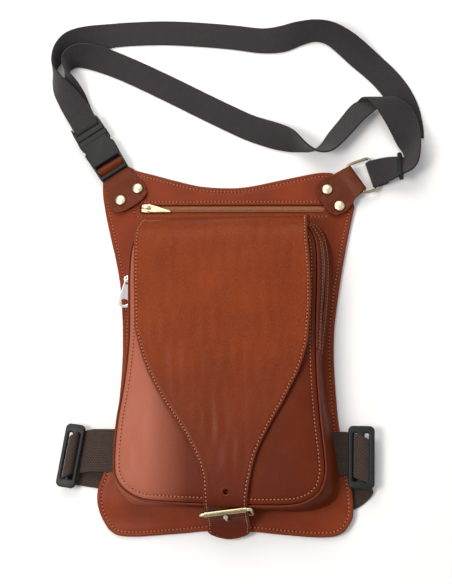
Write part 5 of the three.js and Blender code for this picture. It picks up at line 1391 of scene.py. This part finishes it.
for side, word in ((-1, "left"), (1, "right")):
    tab, cheek = [(outline * (1, side))[::side] for outline in (TAB, CHEEK)]
    fit("buckle_release_" + word, plate(tab, [], 6.2, 0.7), buckle_at, ACETAL)
    fit("buckle_cheek_" + word, plate(cheek, [], 10.4, 0.5), buckle_at, ACETAL)
fit("buckle_insert", plate(rounded(6.6, 30.4, 1.4, 48.0), [], 10.6, 1.3), buckle_at, ACETAL, bend=crowned,
    replaces="buckle_male", slot="plastic")
fit("buckle_strap_bar", plate(rounded(2.6, 28, 0.8, 57.6), [], 2.0, 0.6),
    buckle_at @ Matrix.Translation((0, 0, -0.1)), ACETAL)

# %% [markdown]
# The waist webbing
#
# Webbing bends across its width as well as along it, and always keeps its width, so it is a ruled surface:
# each row of the table is the middle of the strap with a line across it, given by its plan angle, how
# steeply it rises, and its width. The strap is one length: it starts on the floor near its slider, goes
# round the top of the loop to the buckle and about its bar, and comes back as the lower run, through the
# slider and round the ring, to end tucked under itself.

# %% Waist webbing
WAIST_UPPER = np.array([  # x, y, z, turn, rise, wide
    (-137.9, 221.6, 9.2, 212, 0, 25), (-148, 238, 9, 215, -8, 25), (-158, 253, 9.8, 211, -28, 25),
    (-167, 266, 11.6, 204, -52, 25), (-172, 280, 13, 192, -76, 25), (-169.5, 292.5, 13.3, 168, -93, 25),
    (-163, 302.5, 12.6, 140, -112, 25), (-153.5, 310.3, 9.4, 118, -137, 25),
    (-139.5, 315.3, 5, 103, -160, 25), (-120, 318.6, 1.9, 96, -176, 25), (-99, 320, 1.05, 92, -180, 25),
    (-64, 319.3, 1.05, 87, -180, 25), (-30, 316, 1.05, 84, -180, 25), (2, 311.6, 1.05, 81, -180, 25),
    (30, 306.5, 1.9, 82, -176, 25), (50, 305.5, 6, 91, -157, 25), (67, 308, 10.6, 95, -130, 25),
    (82, 309.6, 11.8, 86, -121, 25), (96, 306.5, 10.8, 64, -128, 25), (110, 297.5, 8, 50, -146, 25),
    (123, 286.5, 3.9, 47, -166, 25), (136, 274.5, 1.3, 45, -179, 25), (148, 261.5, 1.05, 40, -180, 25),
    (158, 247, 1.05, 30, -180, 25), (165, 231, 1.05, 17, -180, 25), (168.4, 214, 1.05, 5, -180, 25),
    (168.8, 203, 1.05, -2, -180, 25)])
WAIST_LOWER = np.array([
    (-138.2, 222, 4.4, 211, 0, 25), (-145.3, 235.2, 4.0, 211, -3, 25), (-151, 249.5, 3.8, 208, -12, 25),
    (-156, 262, 6.6, 203, -35, 25), (-159.5, 273, 11.4, 193, -66, 25), (-160, 284, 13.3, 168, -92, 25),
    (-154.5, 292.5, 11.6, 128, -118, 25), (-144.5, 296, 8.3, 96, -143, 25),
    (-131, 294.5, 4, 76, -166, 25), (-113, 288, 1.5, 67, -178, 25), (-90, 277, 1.05, 63, -180, 25),
    (-58, 260, 1.05, 62, -180, 25), (-29, 244, 1.05, 62, -180, 25), (-6, 231.5, 1.05, 63, -180, 25),
    (18, 219, 1.4, 64, -178, 25), (40, 209.5, 4.8, 65, -162, 25), (56, 202, 9.9, 63, -135, 25),
    (68, 195.5, 13.2, 63, -103, 25), (76, 192, 13.4, 77, -84, 25), (85, 191, 12, 102, -62, 25),
    (93, 195, 10, 125, -46, 25), (101, 204, 8.9, 136, -37, 25), (110, 214.5, 8.6, 137, -34, 25),
    (119, 225.5, 8, 141, -31, 25), (126.5, 232.5, 7.4, 154, -25, 26), (133, 237, 8.4, 168, -19, 28),
    (138.5, 239.4, 12.2, 174, -10, 29), (144.4, 236.9, 15.8, 176, -2, 30),
    (151.4, 230.2, 15.8, 182, 4, 30.5), (158, 221, 13.4, 193, 5, 29), (163.4, 209.7, 10.8, 200, -6, 26.4),
    (167.2, 198.4, 10, 200, -30, 25), (169.4, 189.8, 12, 188, -50, 25),
    (169.6, 181.8, 13.6, 168, -57, 25), (167, 175.2, 13, 125, -48, 25), (160.6, 173, 12, 90, -34, 25),
    (150.5, 171.6, 9.8, 100, -16, 25), (140.5, 169.3, 8.4, 106, -3, 25), (134.4, 167.6, 8.4, 107, 0, 25),
    (132.2, 167, 7.4, 107, 0, 25), (131.3, 166.7, 5.6, 107, 0, 25), (132.2, 167, 3.9, 107, 0, 25),
    (134.4, 167.6, 2.9, 107, 0, 25), (140, 169.3, 3.2, 106, -2, 25), (145.5, 170.8, 3.9, 104, -8, 25)])
along_buckle = np.array([54.3, 53.4, 54.3])  # mm from the lug's bar to the webbing as it rounds its own
ROUND_BAR = np.column_stack([LUG_LEFT["x"] - 0.53 * along_buckle, LUG_LEFT["y"] + 0.848 * along_buckle,
                             (8.6, 6.8, 5.0), (212, 212, 212), (0, 0, 0), (25, 25, 25)])
WAIST = np.vstack([WAIST_UPPER[::-1], ROUND_BAR, WAIST_LOWER])


FINE = 3001  # rows of a strap's finely divided table, by which its length is measured


def stepped(table, step, closed=False):
    """The rows of a strap's table at even steps along it, in mm, and how far along each of them lies."""
    fine_row = np.linspace(0, len(table) - 1 + closed, FINE)
    length = path_length(curve(table, fine_row, closed)[:, :3])
    s = np.linspace(0, length[-1], round(length[-1] / step) + 1 - closed)
    s = s[:-1] if closed else s
    return curve(table, np.interp(s, length, fine_row), closed), s


def across_strap(width, count):
    """Shares of a strap's width: close together at both edges, with count even ones between them."""
    middle = np.linspace(2.2, width - 2.2, count)
    return np.concatenate([EDGE_LINES[:5], middle, width - EDGE_LINES[4::-1]]) / width


def strap(table, thick, step):
    """The middle surface of a strap, and its UV map: millimetres across it and along its middle."""
    rows, s = stepped(table, step)
    x, y, z, turn, rise_by, wide = rows.T
    turn, rise_by = np.radians(turn), np.radians(rise_by)
    z = np.maximum(z, wide / 2 * np.abs(np.sin(rise_by)) + thick / 2 * np.abs(np.cos(rise_by)) + 0.05)
    share = across_strap(wide.mean(), 9)
    w = (share[:, None] - 0.5) * wide
    mid = np.stack([x + w * np.cos(turn) * np.cos(rise_by), y + w * np.sin(turn) * np.cos(rise_by),
                    z + w * np.sin(rise_by)], -1)
    return mid, np.stack([share[:, None] * wide, s + 0 * w], -1), s


mid, uv, s = strap(WAIST, WAIST_T, 1.6)
shell("waist_webbing", mid, WAIST_T, WAIST_WEB, distance=edge_distance(mid), uv=np.concatenate([uv, uv]),
      replaces=("waist_strap_upper", "waist_strap_lower"), slot="webbing")
print("waist webbing length, mm:", round(float(s[-1])))

# %% Waist slider
WAIST_SLIDER = {"row": 35.2, "long": 30.6, "high": 8.6, "slot_long": 27, "slot_high": 5.8, "wide": 3.6}
here, before, after = curve(WAIST_LOWER, WAIST_SLIDER["row"] + np.array([0, -0.2, 0.2]))
turn, tip = np.radians(here[3:5])
across = np.array([math.cos(turn) * math.cos(tip), math.sin(turn) * math.cos(tip), math.sin(tip)])
ahead = unit(after[:3] - before[:3] - across * np.dot(after[:3] - before[:3], across))
stands = Matrix(np.column_stack([across, np.cross(ahead, across), ahead])).to_4x4()
stands.translation = Vector(here[:3])
outline = rounded(WAIST_SLIDER["long"], WAIST_SLIDER["high"], 1.9)
slot = rounded(WAIST_SLIDER["slot_long"], WAIST_SLIDER["slot_high"], 0.7)
fit("waist_slider_loop", plate(outline, [slot], WAIST_SLIDER["wide"], 0.55), stands, ACETAL,
    replaces="waist_slider", slot="plastic")

# %% [markdown]
# The leg strap and its adjusters
#
# One closed loop of wide webbing: across the front panel under the box pocket, round at both sides, and
# back under the bag. At each end it rises through one slot of an adjuster, turns over its middle bar and
# goes down through the other slot.

# %% Leg webbing
BESIDE_PANEL = 6.7  # mm, the height of the leg strap's middle where it leaves the panel on the left
front_x = np.array([106.4, 100, 90, 75, 55, 30, 0, -30, -55, -75, -90, -100, -108, -114, -121])
on_panel = plateau(np.clip(-front_x, 0, None), 112, 128)
on_face = face_top(front_x, front_run(front_x)) + GAP + 0.1 + LEG_T / 2
front_z = BESIDE_PANEL + (on_face - BESIDE_PANEL) * on_panel
front_turn = np.where(front_x > 90, 89, np.where(front_x < -110, 88, 90))
FRONT_RUN = np.column_stack([front_x, front_run(front_x), front_z, front_turn, on_panel])
LEG_STRAP = np.array([  # x, y, z, turn
    (-128, -86.6, 6.6, 86), (-132.6, -87, 6.5, 83), (-135.2, -87.5, 7.4, 81.4), (-136.1, -88, 9.8, 81.4),
    (-136.9, -88.8, 12.6, 81.4), (-139.7, -90.2, 13.8, 81.4), (-142.5, -91.4, 12.6, 81.4),
    (-143.4, -92.2, 9.8, 81.4), (-143.4, -93.6, 6, 81.4), (-142.2, -95, 2.9, 82), (-138, -96.6, 1.3, 84),
    (-130, -98, 1.15, 85), (-110, -100.6, 1.15, 84.6), (-60, -105.4, 1.15, 84.6), (0, -110.9, 1.15, 84.6),
    (50, -115.5, 1.15, 84.6), (84, -118.8, 1.15, 88), (99, -119.4, 1.15, 98), (109, -116.5, 1.15, 110),
    (116.6, -110.5, 1.4, 116), (122.6, -104, 3.4, 110), (125.4, -99, 7, 93), (125.6, -96, 10.6, 89.5),
    (124.9, -94, 14.2, 89), (121.8, -92.6, 16.5, 90), (118.2, -91.2, 16.7, 89), (115.6, -90.2, 15.3, 89),
    (114.7, -89.6, 13, 89), (114, -89.1, 10.5, 89), (111.6, -88.6, 9.1, 89)])
LEG = np.vstack([FRONT_RUN, np.column_stack([LEG_STRAP, np.zeros(len(LEG_STRAP))])])
rows, s = stepped(LEG, 1.3, closed=True)
x, y, z, turn, lies = rows.T[..., None]
share = across_strap(LEG_W, 11)
w = (share - 0.5) * LEG_W
X, Y = x + w * np.cos(np.radians(turn)), y + w * np.sin(np.radians(turn))
Z = z + np.clip(lies, 0, 1) * (face_top(X, Y) - face_top(x, y))
mid = np.stack([X, Y, Z], -1)
uv = np.stack([share * LEG_W + 0 * x, s[:, None] + 0 * X], -1)
shell("leg_webbing", mid, LEG_T, LEG_WEB, ring=True, uv=np.concatenate([uv, uv]), replaces="leg_strap",
      slot="webbing")
print("leg webbing loop, mm:", round(float(s[-1] + s[1])))

# %% Leg adjusters
for name, x, y, z, turn, long, wide, slots in (
        ("leg_slider_left", -139.7, -90.6, 10, 81.4, 57, 18, ((-3.3, 3.4), (3.6, 3.6))),
        ("leg_slider_right", 119.8, -91, 12, 89, 54, 23, ((-5.3, 3.8), (4.6, 3.6)))):
    holes = [rounded(w, 41.5, 1.3, at) for at, w in slots]
    fit(name.replace("slider", "adjuster"), plate(rounded(wide, long, 4.5), holes, 4.2, 1.5),
        frame_at(x, y, z, turn - 90), ACETAL, replaces=name, slot="plastic")

# %% [markdown]
# Table, light and picture
#
# The bag lies on a plain white table in a bright room. A big soft light stands above its top edge, a small
# one at the left gives the leather its pale sheen there, and a weak one at the right lifts the shadows.

# %% Table and lights
material, tree, shader = start("white_table", Roughness=0.75, Specular_IOR_Level=0.2)
place = add(tree, "ShaderNodeTexCoord").node.outputs["Object"]
tone = add(tree, "ShaderNodeTexNoise", {"Vector": place, "Scale": 3.0, "Detail": 2.0})
tree.links.new(blend(tree, tone, linear("#c8cacd"), linear("#cdcfd2")), shader.inputs["Base Color"])
mesh = bpy.data.meshes.new("table")
mesh.from_pydata([(-3, -3, 0), (3, -3, 0), (3, 3, 0), (-3, 3, 0)], [], [(0, 1, 2, 3)])
mesh.materials.append(material)
table = bpy.data.objects.new("table", mesh)
bpy.context.scene.collection.objects.link(table)


def lamp(name, place, size, power, colour="#ffffff"):
    """A square soft light that looks at the bag."""
    light = bpy.data.lights.new(name, "AREA")
    light.size, light.energy, light.color = size, power, linear(colour)[:3]
    thing = bpy.data.objects.new(name, light)
    thing.location = place
    thing.rotation_euler = (Vector((0, 0.05, 0)) - Vector(place)).to_track_quat("-Z", "Y").to_euler()
    bpy.context.scene.collection.objects.link(thing)


lamp("window", (-0.25, 0.95, 1.0), 0.8, 13.5, "#fff7ee")
lamp("side", (-0.52, -0.1, 1.0), 0.4, 11, "#fff5ea")
lamp("fill", (1.1, 0.2, 1.3), 1.2, 3)
world = bpy.data.worlds.new("room")
world.use_nodes = True
world.node_tree.nodes["Background"].inputs["Color"].default_value = linear("#f2f1f0")
world.node_tree.nodes["Background"].inputs["Strength"].default_value = 0.85
bpy.context.scene.world = world
bpy.context.scene.view_settings.view_transform = "Standard"
